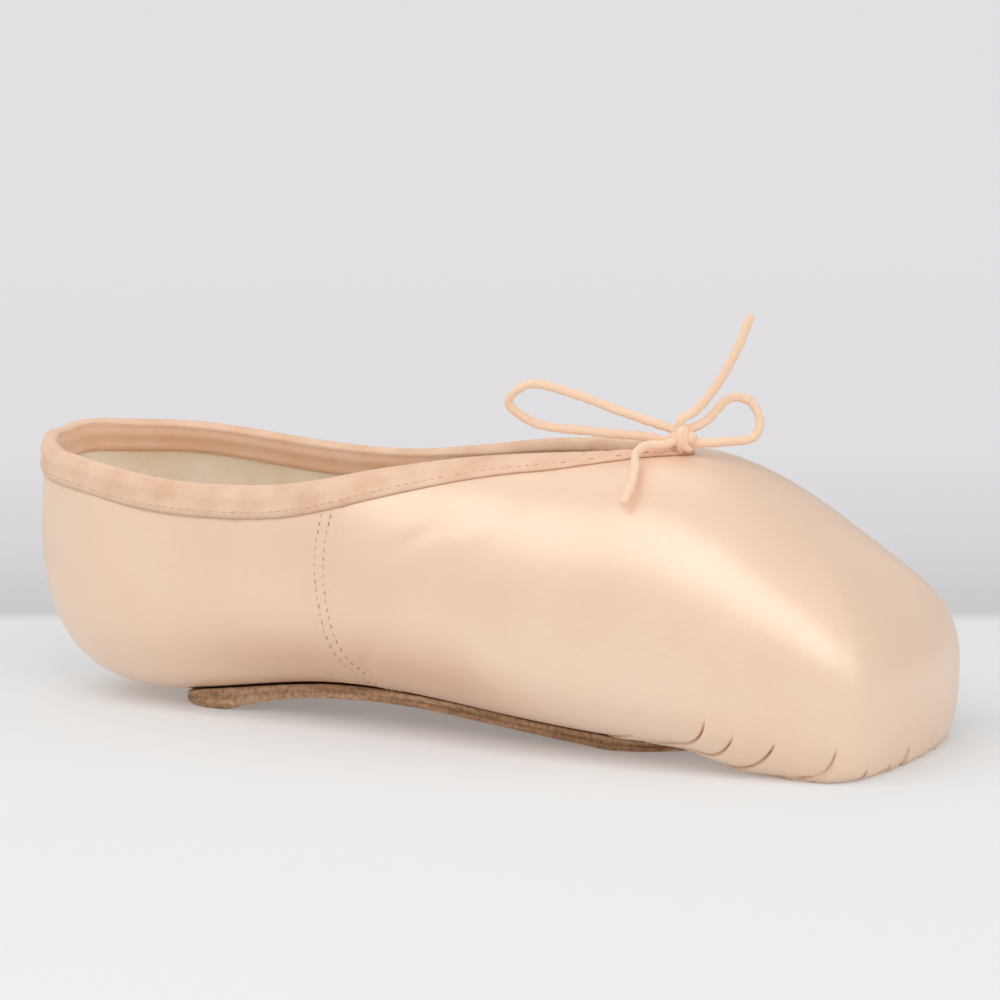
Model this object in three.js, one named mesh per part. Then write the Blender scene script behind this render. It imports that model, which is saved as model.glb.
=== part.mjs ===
// Pointe shoe: a satin upper blocked hard round the toes and pleated under them, a thin leather
// outsole, an insole, a folded binding round the throat, and a drawstring tied in a bow.
// Millimetres, +X towards the toe, +Z up, the shoe standing on its sole.
import * as THREE from "three";

// Driving dimensions
const shoeLength = 234; // back of the heel to the tip of the last
const ballBreadth = 75; // across the widest part of the box
const vampHeight = 66; // top of the vamp in front of the binding
const archHeight = 8; // underside of the upper above the floor, at the waist
const collarHeight = 58; // lowest height of the collar, at the waist
const heelDepth = 60; // length of the rounded back of the heel
const quarterWall = 1.4; // satin, canvas and lining at the sides and heel
const boxWall = 2.6; // the glued layers round the toes
const bindingWidth = 7;
const bindingThickness = 0.8;
const insoleThickness = 1.8;
const pleatDepth = 1.1;
const seamRise = 0.5; // how far the side seam stands out
const seamWidth = 3;
const stringDiameter = 2.2;
const knotBreadth = 6;
const knotHeight = 5;
const bowReach = 40; // from the knot to the far end of the near loop
const clearance = 0.3; // between the knot, its cords and what they lie on
const soleClearance = 0.4; // over the outsole
const insoleClearance = 0.65; // under the insole, which bridges the curve of the upper
const bindingClearance = 0.45; // between the tape and the cloth that it is folded over

// Side sections of the last: at is a share of the length, breadth of the ball breadth and widest,
// the height of the widest line, of the vamp height. The rest are the powers of the outline.
const sections = [
  { at: 0.0, breadth: 0.76, widest: 0.5, side: 2.3, dome: 2.0, sole: 2.8 },
  { at: 0.15, breadth: 0.775, widest: 0.47, side: 2.3, dome: 2.0, sole: 2.8 },
  { at: 0.35, breadth: 0.79, widest: 0.44, side: 2.4, dome: 2.0, sole: 2.8 },
  { at: 0.5, breadth: 0.88, widest: 0.42, side: 2.5, dome: 2.0, sole: 2.8 },
  { at: 0.65, breadth: 0.975, widest: 0.38, side: 2.5, dome: 2.05, sole: 2.8 },
  { at: 0.76, breadth: 1.0, widest: 0.34, side: 2.5, dome: 2.1, sole: 2.8 },
  { at: 0.88, breadth: 0.92, widest: 0.305, side: 2.7, dome: 2.25, sole: 3.0 },
  { at: 1.0, breadth: 0.77, widest: 0.29, side: 2.8, dome: 2.05, sole: 3.0 },
];

// Crown line of the last: at is a share of the length, height of the vamp height. Behind the
// throat it only sets how the sides lean in, because the collar cuts them off.
const crownLine = [
  { at: 0, height: 1.212 },
  { at: 0.28, height: 1.202 },
  { at: 0.38, height: 1.144 },
  { at: 0.46, height: 1.042 },
  { at: 0.53, height: 1.014 },
  { at: 0.6, height: 1.006 },
  { at: 0.655, height: 1.005 },
  { at: 0.695, height: 1.008 },
  { at: 0.722, height: 1.011 },
  { at: 0.752, height: 1 },
  { at: 0.785, height: 0.967 },
  { at: 0.825, height: 0.902 },
  { at: 0.875, height: 0.79 },
  { at: 0.925, height: 0.67 },
  { at: 0.96, height: 0.59 },
  { at: 1, height: 0.51 },
];

// Underside of the upper: at is a share of the length, height of the arch height. Below nought
// the floor presses the pleated toe flat.
const underLine = [
  { at: 0, height: 0.037 },
  { at: 0.15, height: 0.163 },
  { at: 0.21, height: 0.375 },
  { at: 0.28, height: 0.688 },
  { at: 0.35, height: 0.95 },
  { at: 0.41, height: 1 },
  { at: 0.5, height: 0.85 },
  { at: 0.58, height: 0.613 },
  { at: 0.66, height: 0.412 },
  { at: 0.76, height: 0.25 },
  { at: 0.79, height: 0.188 },
  { at: 0.815, height: -0.025 },
  { at: 0.845, height: -0.35 },
  { at: 0.885, height: -0.55 },
  { at: 0.93, height: -0.85 },
  { at: 1, height: -1 },
];

// Back of the heel: height is a share of the collar height, inset of the heel depth.
const heelCurve = [
  { height: 0.0, inset: 0.0 },
  { height: 0.17, inset: 0.033 },
  { height: 0.31, inset: 0.036 },
  { height: 0.45, inset: 0.021 },
  { height: 0.59, inset: 0.003 },
  { height: 0.71, inset: 0.0 },
  { height: 0.84, inset: 0.004 },
  { height: 0.97, inset: 0.015 },
  { height: 1.12, inset: 0.037 },
  { height: 1.4, inset: 0.1 },
];
const heelPower = 3;

// Toe: where its rounding starts and where the platform stands, as shares of the length, how flat
// the platform is, its lean, how crisp its corner with the sides is, and its radius in plan.
const toeStart = 0.8;
const platformAt = 0.992;
const toePower = 7;
const toeLean = THREE.MathUtils.degToRad(2);
const toeCorner = 3;
const platformRadius = 100;

// Collar of the upper: at is a share of the length, breadth of the ball breadth, near and far, its
// heights on the two sides, of the collar height. The far side dips more, as worn by its string.
const collarLine = [
  { at: 0.004, breadth: 0, near: 1.07, far: 1.07 },
  { at: 0.03, breadth: 0.387, near: 1.06, far: 1.088 },
  { at: 0.09, breadth: 0.581, near: 1.034, far: 1.086 },
  { at: 0.18, breadth: 0.667, near: 0.979, far: 1.05 },
  { at: 0.28, breadth: 0.68, near: 0.968, far: 1.006 },
  { at: 0.38, breadth: 0.653, near: 1.005, far: 0.984 },
  { at: 0.46, breadth: 0.547, near: 1.082, far: 1.0 },
  { at: 0.53, breadth: 0.44, near: 1.146, far: 1.032 },
  { at: 0.6, breadth: 0.32, near: 1.175, far: 1.07 },
  { at: 0.66, breadth: 0.213, near: 1.156, far: 1.105 },
  { at: 0.7, breadth: 0.12, near: 1.134, far: 1.134 },
  { at: 0.718, breadth: 0, near: 1.14, far: 1.14 },
];

// Outsole in plan: at is a share of the length, breadth of the ball breadth.
const soleOutline = [
  { at: 0.16, breadth: 0.39 },
  { at: 0.22, breadth: 0.395 },
  { at: 0.37, breadth: 0.38 },
  { at: 0.5, breadth: 0.41 },
  { at: 0.62, breadth: 0.46 },
  { at: 0.7, breadth: 0.47 },
  { at: 0.8, breadth: 0.42 },
];
const soleEnds = { heel: 0.164, heelRound: 0.05, toe: 0.783, toeRound: 0.1 };

// Underside of the outsole: at is a share of the length, height of the arch height. Below nought
// it is cut flat by the floor, under the heel and under the ball.
const soleUnderLine = [
  { at: 0.16, height: 0.1 },
  { at: 0.18, height: -0.037 },
  { at: 0.225, height: -0.037 },
  { at: 0.25, height: 0.138 },
  { at: 0.28, height: 0.35 },
  { at: 0.31, height: 0.512 },
  { at: 0.36, height: 0.625 },
  { at: 0.45, height: 0.625 },
  { at: 0.53, height: 0.438 },
  { at: 0.58, height: 0.3 },
  { at: 0.63, height: 0.163 },
  { at: 0.67, height: 0.05 },
  { at: 0.7, height: -0.037 },
  { at: 0.8, height: -0.037 },
];
// Edge of the outsole, from its top to its tread: drop is a share of its thickness, inset in mm.
const soleEdge = [
  { drop: 0.0, inset: 0.0 },
  { drop: 0.34, inset: 0.0 },
  { drop: 0.42, inset: 0.45 },
  { drop: 0.5, inset: 0.1 },
  { drop: 0.8, inset: 0.2 },
  { drop: 1.0, inset: 0.9 },
];

// Insole in plan, in the same shares, and its plain edge.
const insoleOutline = [
  { at: 0.05, breadth: 0.4 },
  { at: 0.2, breadth: 0.45 },
  { at: 0.38, breadth: 0.45 },
  { at: 0.55, breadth: 0.56 },
  { at: 0.7, breadth: 0.66 },
  { at: 0.82, breadth: 0.6 },
  { at: 0.93, breadth: 0.48 },
];
const insoleEnds = { heel: 0.072, heelRound: 0.08, toe: 0.81, toeRound: 0.12 };
const insoleEdge = [
  { drop: 0.0, inset: 0.5 },
  { drop: 0.3, inset: 0.0 },
  { drop: 1.0, inset: 0.0 },
];

// Opening under the upper, which the outsole covers: it lies inside the outsole by this margin.
const lastingMargin = 5;

// Pleats under the toe: turn is the angle from the shoe's middle line in degrees, top the height
// that the crease climbs to, as a share of the vamp height. They are the same on both sides.
const pleats = [
  { turn: 3, top: 0.05 },
  { turn: 7.7, top: 0.06 },
  { turn: 13.5, top: 0.05 },
  { turn: 19.8, top: 0.13 },
  { turn: 25, top: 0.12 },
  { turn: 30.5, top: 0.14 },
  { turn: 36, top: 0.21 },
  { turn: 44, top: 0.17 },
];
const pleatHalfWidth = 1.5; // degrees from the bottom of a crease to the cloth beside it
const pleatFoot = 0.01; // share of the vamp height below which a crease has its full depth

// Side seam: height is a share of the collar height, at a share of the length.
const seamLine = [
  { height: 0.0, at: 0.468 },
  { height: 0.2, at: 0.441 },
  { height: 0.35, at: 0.4175 },
  { height: 0.5, at: 0.405 },
  { height: 0.7, at: 0.397 },
  { height: 0.9, at: 0.401 },
];

// Cords of the bow, from the knot's middle: along, across and up are shares of the bow's reach.
const loopNear = [
  { along: -0.09, across: -0.01, up: -0.02 },
  { along: -0.22, across: -0.04, up: 0.0 },
  { along: -0.5, across: -0.14, up: 0.03 },
  { along: -0.8, across: -0.29, up: 0.09 },
  { along: -0.9, across: -0.39, up: 0.22 },
  { along: -0.78, across: -0.36, up: 0.32 },
  { along: -0.57, across: -0.24, up: 0.26 },
  { along: -0.36, across: -0.12, up: 0.16 },
  { along: -0.09, across: -0.01, up: 0.055 },
];
const loopFar = [
  { along: 0.085, across: 0.03, up: -0.03 },
  { along: 0.21, across: 0.12, up: -0.03 },
  { along: 0.32, across: 0.24, up: -0.02 },
  { along: 0.34, across: 0.29, up: 0.06 },
  { along: 0.28, across: 0.28, up: 0.18 },
  { along: 0.19, across: 0.22, up: 0.2 },
  { along: 0.09, across: 0.1, up: 0.08 },
];
const endUp = [
  { along: 0.0, across: -0.02, up: 0.1 },
  { along: 0.05, across: 0.04, up: 0.14 },
  { along: 0.15, across: 0.09, up: 0.26 },
  { along: 0.27, across: 0.13, up: 0.46 },
  { along: 0.365, across: 0.17, up: 0.69 },
];
// The end that hangs down the vamp: up is its height over the cloth there
const endDown = [
  { along: -0.07, across: -0.1, up: 0.01 },
  { along: -0.15, across: -0.14, up: 0.01 },
  { along: -0.17, across: -0.22, up: 0.0 },
  { along: -0.11, across: -0.34, up: 0.0 },
  { along: -0.065, across: -0.46, up: 0.0 },
  { along: -0.06, across: -0.565, up: 0.0 },
];
const knotPlace = { at: 0.742, across: -0.07 }; // shares of the shoe's length and of the bow's reach

// The side seam fades out towards the sole between these shares of the collar height, and the wall
// grows to the box between these shares of the length, and thins below the throat, of the height.
const seamFade = { from: 0.12, to: 0.25 };
const wallGrowth = { from: 0.6, to: 0.8, top: 1.01, under: 0.85 };

// Where the rays that draw the upper start: along the middle of the shoe, at one height.
const spine = { heel: 0.25, toe: 0.6, height: 0.4 };
const counts = { heelFan: 9, side: 10, rows: 13, bindingSteps: 2, soleRows: 22, insoleRows: 18 };
const slabShares = [-1, -0.72, -0.38, 0, 0.38, 0.72, 1]; // columns of a slab across its half breadth
const slabEnd = 0.35; // the slab stops this short of the tip of its rounded ends
const cordSides = 8;
const cordStep = 2.6; // string diameters from one ring of a cord to the next

const rowCrowding = 1.3; // the rows stand closer together under the shoe
const restOfFan = 4; // stations of the toe's fan beyond the last pleat
const halvings = 40; // of a search for a crossing

// Smooth curve through the rows of a table, as a function of its first column
function curveThrough(xs, ys) {
  const n = xs.length;
  const bend = new Array(n).fill(0);
  const carry = new Array(n).fill(0);
  for (let i = 1; i < n - 1; i++) {
    const s = (xs[i] - xs[i - 1]) / (xs[i + 1] - xs[i - 1]);
    const p = s * bend[i - 1] + 2;
    bend[i] = (s - 1) / p;
    const jump = (ys[i + 1] - ys[i]) / (xs[i + 1] - xs[i]) - (ys[i] - ys[i - 1]) / (xs[i] - xs[i - 1]);
    carry[i] = ((6 * jump) / (xs[i + 1] - xs[i - 1]) - s * carry[i - 1]) / p;
  }
  bend[n - 1] = 0;
  for (let i = n - 2; i >= 0; i--) bend[i] = bend[i] * bend[i + 1] + carry[i];
  return (x) => {
    const u = THREE.MathUtils.clamp(x, xs[0], xs[n - 1]);
    let i = 0;
    while (i < n - 2 && u > xs[i + 1]) i++;
    const h = xs[i + 1] - xs[i];
    const a = (xs[i + 1] - u) / h;
    const b = (u - xs[i]) / h;
    const sag = ((a ** 3 - a) * bend[i] + (b ** 3 - b) * bend[i + 1]) * (h * h) / 6;
    return a * ys[i] + b * ys[i + 1] + sag;
  };
}
const column = (rows, name, size) => rows.map((row) => row[name] * size);
const lineOf = (rows, name, size) => curveThrough(column(rows, "at", shoeLength), column(rows, name, size));

const halfBreadth = lineOf(sections, "breadth", ballBreadth / 2);
const widestHeight = lineOf(sections, "widest", vampHeight);
const sidePower = lineOf(sections, "side", 1);
const domePower = lineOf(sections, "dome", 1);
const solePower = lineOf(sections, "sole", 1);
const crownHeight = lineOf(crownLine, "height", vampHeight);
const underHeight = lineOf(underLine, "height", archHeight);
const heelInset = curveThrough(
  column(heelCurve, "height", collarHeight),
  column(heelCurve, "inset", heelDepth),
);
const seamPlace = curveThrough(
  column(seamLine, "height", collarHeight),
  column(seamLine, "at", shoeLength),
);
const toeFrom = toeStart * shoeLength;
const floorGap = 0.15; // the pleated toe stands this far clear of the floor under the sole's tread

// How far out a point lies: less than 1 inside the last, 1 on its surface
function fullness(x, y, z) {
  const widest = widestHeight(x);
  const above = z > widest;
  const rise = above ? crownHeight(x) - widest : widest - underHeight(x);
  const power = above ? domePower(x) : solePower(x);
  const tall = (Math.abs(z - widest) / rise) ** power;
  const wide = (Math.abs(y) / halfBreadth(x)) ** sidePower(x);
  const back = (Math.max(0, heelDepth - x) / (heelDepth - heelInset(z))) ** heelPower;
  const sweep = Math.min(Math.abs(y), ballBreadth / 2) ** 2 / (2 * platformRadius);
  const tip = platformAt * shoeLength - Math.abs(z - widest) * Math.tan(toeLean) - sweep;
  const front = (Math.max(0, x - toeFrom) / (tip - toeFrom)) ** toePower;
  const around = (wide ** toeCorner + front ** toeCorner) ** (1 / toeCorner);
  const round = around + tall + back * (above ? Math.max(0, 1 - tall) : 1);
  return Math.max(round, 1 + floorGap - z);
}

// Nearest crossing of the surface along a ray that starts inside
function cast(origin, direction, isInside, far = shoeLength) {
  let near = 0;
  let limit = far;
  for (let i = 0; i < halvings; i++) {
    const middle = (near + limit) / 2;
    if (isInside(origin.clone().addScaledVector(direction, middle))) near = middle;
    else limit = middle;
  }
  return near;
}
const insideLast = (p) => fullness(p.x, p.y, p.z) < 1;

function outwardNormal(p) {
  const step = 0.05;
  const slope = (dx, dy, dz) =>
    fullness(p.x + dx, p.y + dy, p.z + dz) - fullness(p.x - dx, p.y - dy, p.z - dz);
  return new THREE.Vector3(slope(step, 0, 0), slope(0, step, 0), slope(0, 0, step)).normalize();
}

// Thickness of the upper, which grows from the waist to the box and thins again at the collar
function wallAt(p) {
  const { from, to, top, under } = wallGrowth;
  const forward = THREE.MathUtils.smoothstep(p.x, from * shoeLength, to * shoeLength);
  const down = THREE.MathUtils.smoothstep(-p.z, -top * vampHeight, -under * vampHeight);
  return THREE.MathUtils.lerp(quarterWall, boxWall, forward * down);
}

// Height of the underside of the last at a place in plan
function underside(x, y) {
  const start = new THREE.Vector3(x, y, widestHeight(x));
  const down = new THREE.Vector3(0, 0, -1);
  return start.z - cast(start, down, insideLast, vampHeight);
}
// Height of the upper's inner floor there
function innerFloor(x, y) {
  const z = underside(x, y);
  const normal = outwardNormal(new THREE.Vector3(x, y, z));
  return z + wallAt(new THREE.Vector3(x, y, z)) / Math.max(0.5, -normal.z);
}

// Half breadth of a sole or insole in plan, with both ends rounded
function outlineOf(rows, ends) {
  const table = lineOf(rows, "breadth", ballBreadth / 2);
  const heel = ends.heel * shoeLength;
  const toe = ends.toe * shoeLength;
  const heelRound = ends.heelRound * shoeLength;
  const toeRound = ends.toeRound * shoeLength;
  const half = (x) => {
    const behind = Math.max(0, (heel + heelRound - x) / heelRound);
    const ahead = Math.max(0, (x - toe + toeRound) / toeRound);
    return table(x) * Math.sqrt(Math.max(0, 1 - behind ** 2 - ahead ** 2));
  };
  const widest = Math.max(...rows.map((row) => row.breadth));
  return { half, heel, toe, widest };
}
const soleShape = outlineOf(soleOutline, soleEnds);
const insoleShape = outlineOf(insoleOutline, insoleEnds);

// Stations round the shoe: a fan round the toe, the sides, and a fan round the heel
const spineHeel = spine.heel * shoeLength;
const spineToe = spine.toe * shoeLength;
const spineHeight = spine.height * vampHeight;

function toeTurns() {
  const turns = [0];
  for (const { turn } of pleats) turns.push(turn - pleatHalfWidth, turn, turn + pleatHalfWidth);
  const last = turns[turns.length - 1];
  const step = (90 - last) / (restOfFan + 1);
  for (let i = 1; i <= restOfFan; i++) turns.push(last + step * i);
  return turns;
}

function halfRing() {
  const list = toeTurns().map((turn) => {
    const a = THREE.MathUtils.degToRad(turn);
    return { x: spineToe, across: Math.sin(a), along: Math.cos(a), turn };
  });
  for (let i = 0; i <= counts.side; i++) {
    const x = THREE.MathUtils.lerp(spineToe, spineHeel, i / counts.side);
    list.push({ x, across: 1, along: 0, turn: 90 });
  }
  for (let i = 1; i <= counts.heelFan; i++) {
    const a = (Math.PI / 2) * (i / counts.heelFan);
    list.push({ x: spineHeel, across: Math.cos(a), along: -Math.sin(a), turn: 180 });
  }
  return list;
}

// Distance in plan from the spine to a closed outline, along a station's direction
function reachTo(station, half) {
  const inside = (r) => station.across * r < half(station.x + station.along * r);
  let near = 0;
  let far = shoeLength;
  for (let i = 0; i < halvings; i++) {
    const middle = (near + far) / 2;
    if (inside(middle)) near = middle;
    else far = middle;
  }
  return near;
}

// Where a station's plane crosses the collar's guide line: its reach in plan and its height
const collarGuide = (() => {
  const steps = collarLine.map((row, i) => i);
  const along = curveThrough(steps, column(collarLine, "at", shoeLength));
  const across = curveThrough(steps, column(collarLine, "breadth", ballBreadth / 2));
  const nearHeight = curveThrough(steps, column(collarLine, "near", collarHeight));
  const farHeight = curveThrough(steps, column(collarLine, "far", collarHeight));
  const side = (station, t) => (along(t) - station.x) * station.across - across(t) * station.along;
  return (station, hand) => {
    let near = 0;
    let far = steps.length - 1;
    for (let i = 0; i < halvings; i++) {
      const middle = (near + far) / 2;
      if (side(station, middle) < 0) near = middle;
      else far = middle;
    }
    const reach = Math.hypot(along(near) - station.x, across(near));
    return { reach, height: hand < 0 ? nearHeight(near) : farHeight(near) };
  };
})();

function stationDirection(station, hand, angle) {
  const out = Math.sin(angle);
  return new THREE.Vector3(station.along * out, hand * station.across * out, Math.cos(angle));
}
function surfacePoint(station, hand, angle) {
  const origin = new THREE.Vector3(station.x, 0, spineHeight);
  const direction = stationDirection(station, hand, angle);
  return origin.clone().addScaledVector(direction, cast(origin, direction, insideLast));
}

// Depth of the pleat's crease at a station, for a point of that height
function pleatCut(station, height) {
  const pleat = pleats.find(({ turn }) => Math.abs(turn - station.turn) < 0.01);
  if (!pleat) return 0;
  return pleatDepth * THREE.MathUtils.smoothstep(-height, -pleat.top * vampHeight, -pleatFoot * vampHeight);
}
function seamLift(p) {
  const off = (p.x - seamPlace(p.z)) / seamWidth;
  const { from, to } = seamFade;
  const low = THREE.MathUtils.smoothstep(p.z, from * collarHeight, to * collarHeight);
  return seamRise * Math.exp(-off * off) * low;
}

// Profile of the upper at one station: the angles from its collar to its edge under the sole
function uppermost(station, hand) {
  const guide = collarGuide(station, hand);
  return Math.atan2(guide.reach, guide.height - spineHeight);
}
function lowest(station) {
  const margin = (x) => soleShape.half(x) - lastingMargin;
  const reach = reachTo(station, margin);
  const x = station.x + station.along * reach;
  return Math.PI - Math.atan2(reach, spineHeight - underHeight(x));
}

// Angles of the rows at one station: the binding's depth first, then down to the edge under the sole
function rowAngles(station, hand) {
  const angles = [uppermost(station, hand)];
  const reach = bindingWidth / counts.bindingSteps;
  for (let i = 0; i < counts.bindingSteps; i++) {
    const origin = surfacePoint(station, hand, angles[i]);
    const within = (p) => surfacePoint(station, hand, angles[i] + p.x).distanceTo(origin) < reach;
    angles.push(angles[i] + cast(new THREE.Vector3(), new THREE.Vector3(1, 0, 0), within, 1));
  }
  const from = angles[angles.length - 1];
  const to = lowest(station);
  for (let i = 1; i <= counts.rows; i++) {
    angles.push(THREE.MathUtils.lerp(from, to, 1 - (1 - i / counts.rows) ** rowCrowding));
  }
  return angles;
}

function upperProfile(station, hand) {
  const outer = [];
  const inner = [];
  for (const angle of rowAngles(station, hand)) {
    const p = surfacePoint(station, hand, angle);
    const normal = outwardNormal(p);
    outer.push(p.clone().addScaledVector(normal, seamLift(p) - pleatCut(station, p.z)));
    inner.push(p.clone().addScaledVector(normal, -wallAt(p)));
  }
  return [...outer, ...inner.reverse()];
}

// Profile of the binding: a tape folded over the collar's edge, with a leaf on each side of it
function bindingProfile(station, hand) {
  const steps = counts.bindingSteps;
  const angles = rowAngles(station, hand).slice(0, steps + 1);
  const leaf = angles.map((angle) => surfacePoint(station, hand, angle));
  const normals = leaf.map(outwardNormal);
  const walls = leaf.map(wallAt);
  const up = leaf[0].clone().sub(leaf[1]).normalize();
  const near = bindingClearance;
  const far = bindingClearance + bindingThickness;
  const place = (i, off, lift = 0) =>
    leaf[i].clone().addScaledVector(normals[i], off).addScaledVector(up, lift);
  const profile = [place(0, -walls[0] / 2, far), place(0, far, near)];
  for (let i = 1; i <= steps; i++) profile.push(place(i, far + seamLift(leaf[i])));
  for (let i = steps; i >= 1; i--) profile.push(place(i, near + seamLift(leaf[i])));
  profile.push(place(0, near, near), place(0, -walls[0] - near, near));
  for (let i = 1; i <= steps; i++) profile.push(place(i, -walls[i] - near));
  for (let i = steps; i >= 1; i--) profile.push(place(i, -walls[i] - far));
  profile.push(place(0, -walls[0] - far, near));
  return profile;
}

// A closed ring of closed profiles, as one mesh geometry. A crossed one has its quads cut the other
// way, so that the faces that it turns to another ring's are cut as they are.
function ringGeometry(profiles, crossed = false) {
  const positions = [];
  const index = [];
  const n = profiles.length;
  const m = profiles[0].length;
  for (const profile of profiles) for (const p of profile) positions.push(p.x, p.y, p.z);
  for (let i = 0; i < n; i++) {
    for (let k = 0; k < m; k++) {
      const a = i * m + k;
      const b = ((i + 1) % n) * m + k;
      const c = ((i + 1) % n) * m + ((k + 1) % m);
      const d = i * m + ((k + 1) % m);
      if (crossed) index.push(a, b, d, b, c, d);
      else index.push(a, b, c, a, c, d);
    }
  }
  return geometryFrom(positions, index);
}
function geometryFrom(positions, index) {
  const geometry = new THREE.BufferGeometry();
  geometry.setAttribute("position", new THREE.Float32BufferAttribute(positions, 3));
  geometry.setIndex(index);
  geometry.computeVertexNormals();
  return geometry;
}
// Both sides of the shoe, from the toe's middle round the near side, the heel and the far side
function wholeRing(profileAt) {
  const half = halfRing();
  const nearSide = half.map((station) => profileAt(station, -1));
  const farSide = half.slice(1, -1).map((station) => profileAt(station, 1));
  return [...nearSide, ...farSide.reverse()];
}

// A thin slab with an outline in plan, a height for its top and its bottom, and a stepped edge
function slabGeometry(shape, rows, topAt, bottomAt, edge) {
  const shares = slabShares;
  const columns = shares.length;
  const middle = (shape.heel + shape.toe) / 2;
  const reach = (shape.toe - shape.heel) / 2 - slabEnd;
  const across = (shape.widest * ballBreadth) / 2;
  const place = (i, j, drop, inset) => {
    const along = -Math.cos((Math.PI * i) / rows);
    const x = middle + reach * along;
    const y = shape.half(x) * shares[j];
    const z = THREE.MathUtils.lerp(topAt(x, y), bottomAt(x, y), drop);
    return [middle + (x - middle) * (1 - inset / reach), y * (1 - inset / across), z];
  };
  const border = [];
  for (let i = 0; i <= rows; i++) border.push([i, 0]);
  for (let j = 1; j < columns; j++) border.push([rows, j]);
  for (let i = rows - 1; i >= 0; i--) border.push([i, columns - 1]);
  for (let j = columns - 2; j >= 1; j--) border.push([0, j]);
  const positions = [];
  const index = [];
  const add = (p) => positions.push(...p) / 3 - 1;
  const sheet = ({ drop, inset }) => {
    const ids = [];
    for (let i = 0; i <= rows; i++) {
      ids.push(shares.map((share, j) => add(place(i, j, drop, inset))));
    }
    return ids;
  };
  const top = sheet(edge[0]);
  const bottom = sheet(edge[edge.length - 1]);
  for (let i = 0; i < rows; i++) {
    for (let j = 0; j < columns - 1; j++) {
      const quad = (s) => [s[i][j], s[i + 1][j], s[i + 1][j + 1], s[i][j + 1]];
      const [a, b, c, d] = quad(top);
      index.push(a, b, c, a, c, d);
      const [e, f, g, h] = quad(bottom);
      index.push(e, g, f, e, h, g);
    }
  }
  let upper = border.map(([i, j]) => top[i][j]);
  for (let k = 1; k < edge.length; k++) {
    const last = k === edge.length - 1;
    const { drop, inset } = edge[k];
    const lower = border.map(([i, j]) => (last ? bottom[i][j] : add(place(i, j, drop, inset))));
    for (let n = 0; n < border.length; n++) {
      const m = (n + 1) % border.length;
      index.push(upper[n], lower[n], lower[m], upper[n], lower[m], upper[m]);
    }
    upper = lower;
  }
  return geometryFrom(positions, index);
}

// Point over the last, straight up from a place in plan, that far out from its surface
function overLast(x, y, off) {
  const start = new THREE.Vector3(x, y, widestHeight(x));
  const up = new THREE.Vector3(0, 0, 1);
  const p = start.clone().addScaledVector(up, cast(start, up, insideLast, vampHeight));
  return p.addScaledVector(outwardNormal(p), off);
}
const overBinding = bindingClearance + bindingThickness + clearance;
const knotMiddle = overLast(
  knotPlace.at * shoeLength,
  knotPlace.across * bowReach,
  overBinding + knotHeight / 2,
);

function cordGeometry(points) {
  const path = new THREE.CatmullRomCurve3(points, false, "centripetal");
  const round = new THREE.Shape();
  for (let i = 0; i < cordSides; i++) {
    const turn = (2 * Math.PI * i) / cordSides;
    const x = (Math.cos(turn) * stringDiameter) / 2;
    const y = (Math.sin(turn) * stringDiameter) / 2;
    if (i) round.lineTo(x, y);
    else round.moveTo(x, y);
  }
  const steps = Math.ceil(path.getLength() / (cordStep * stringDiameter));
  return new THREE.ExtrudeGeometry(round, { steps, curveSegments: 1, extrudePath: path });
}
const freePoint = ({ along, across, up }) =>
  new THREE.Vector3(along, across, up).multiplyScalar(bowReach).add(knotMiddle);
const lyingPoint = ({ along, across, up }) =>
  overLast(
    knotMiddle.x + along * bowReach,
    knotMiddle.y + across * bowReach,
    overBinding + stringDiameter / 2 + up * bowReach,
  );

function named(name, geometry, color, roughness) {
  const material = new THREE.MeshStandardMaterial({ color, roughness, metalness: 0 });
  const mesh = new THREE.Mesh(geometry, material);
  mesh.name = name;
  return mesh;
}

function makeUpper() {
  return named("upper", ringGeometry(wholeRing(upperProfile)), 0xebcdb2, 0.35);
}
function makeBinding() {
  return named("binding", ringGeometry(wholeRing(bindingProfile), true), 0xf0cdb6, 0.8);
}
function makeOutsole() {
  const under = lineOf(soleUnderLine, "height", archHeight);
  const topAt = (x, y) => underside(x, y) - soleClearance;
  const bottomAt = (x) => Math.max(0, under(x));
  const slab = slabGeometry(soleShape, counts.soleRows, topAt, bottomAt, soleEdge);
  return named("outsole", slab, 0xaa8769, 0.7);
}
function makeInsole() {
  const bottomAt = (x, y) => innerFloor(x, y) + insoleClearance;
  const topAt = (x, y) => bottomAt(x, y) + insoleThickness;
  const slab = slabGeometry(insoleShape, counts.insoleRows, topAt, bottomAt, insoleEdge);
  return named("insole", slab, 0xe6d8bd, 0.8);
}

function makeKnot() {
  const geometry = new THREE.SphereGeometry(0.5, 14, 10);
  geometry.scale(knotBreadth, knotBreadth, knotHeight);
  geometry.translate(knotMiddle.x, knotMiddle.y, knotMiddle.z);
  return named("knot", geometry, 0xf0c8a4, 0.8);
}
const makeCord = (name, rows, point) => named(name, cordGeometry(rows.map(point)), 0xf3cba6, 0.8);

const shoe = new THREE.Group();
shoe.add(makeUpper(), makeOutsole(), makeInsole(), makeBinding(), makeKnot());
shoe.add(makeCord("loop_near", loopNear, freePoint), makeCord("loop_far", loopFar, freePoint));
shoe.add(makeCord("end_up", endUp, freePoint), makeCord("end_down", endDown, lyingPoint));

// The origin is on the floor under the middle of the shoe
const box = new THREE.Box3().setFromObject(shoe);
shoe.position.x = -(box.min.x + box.max.x) / 2;

export default shoe;
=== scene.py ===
import bpy
import math
import numpy as np
from mathutils import Matrix, Vector


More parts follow.
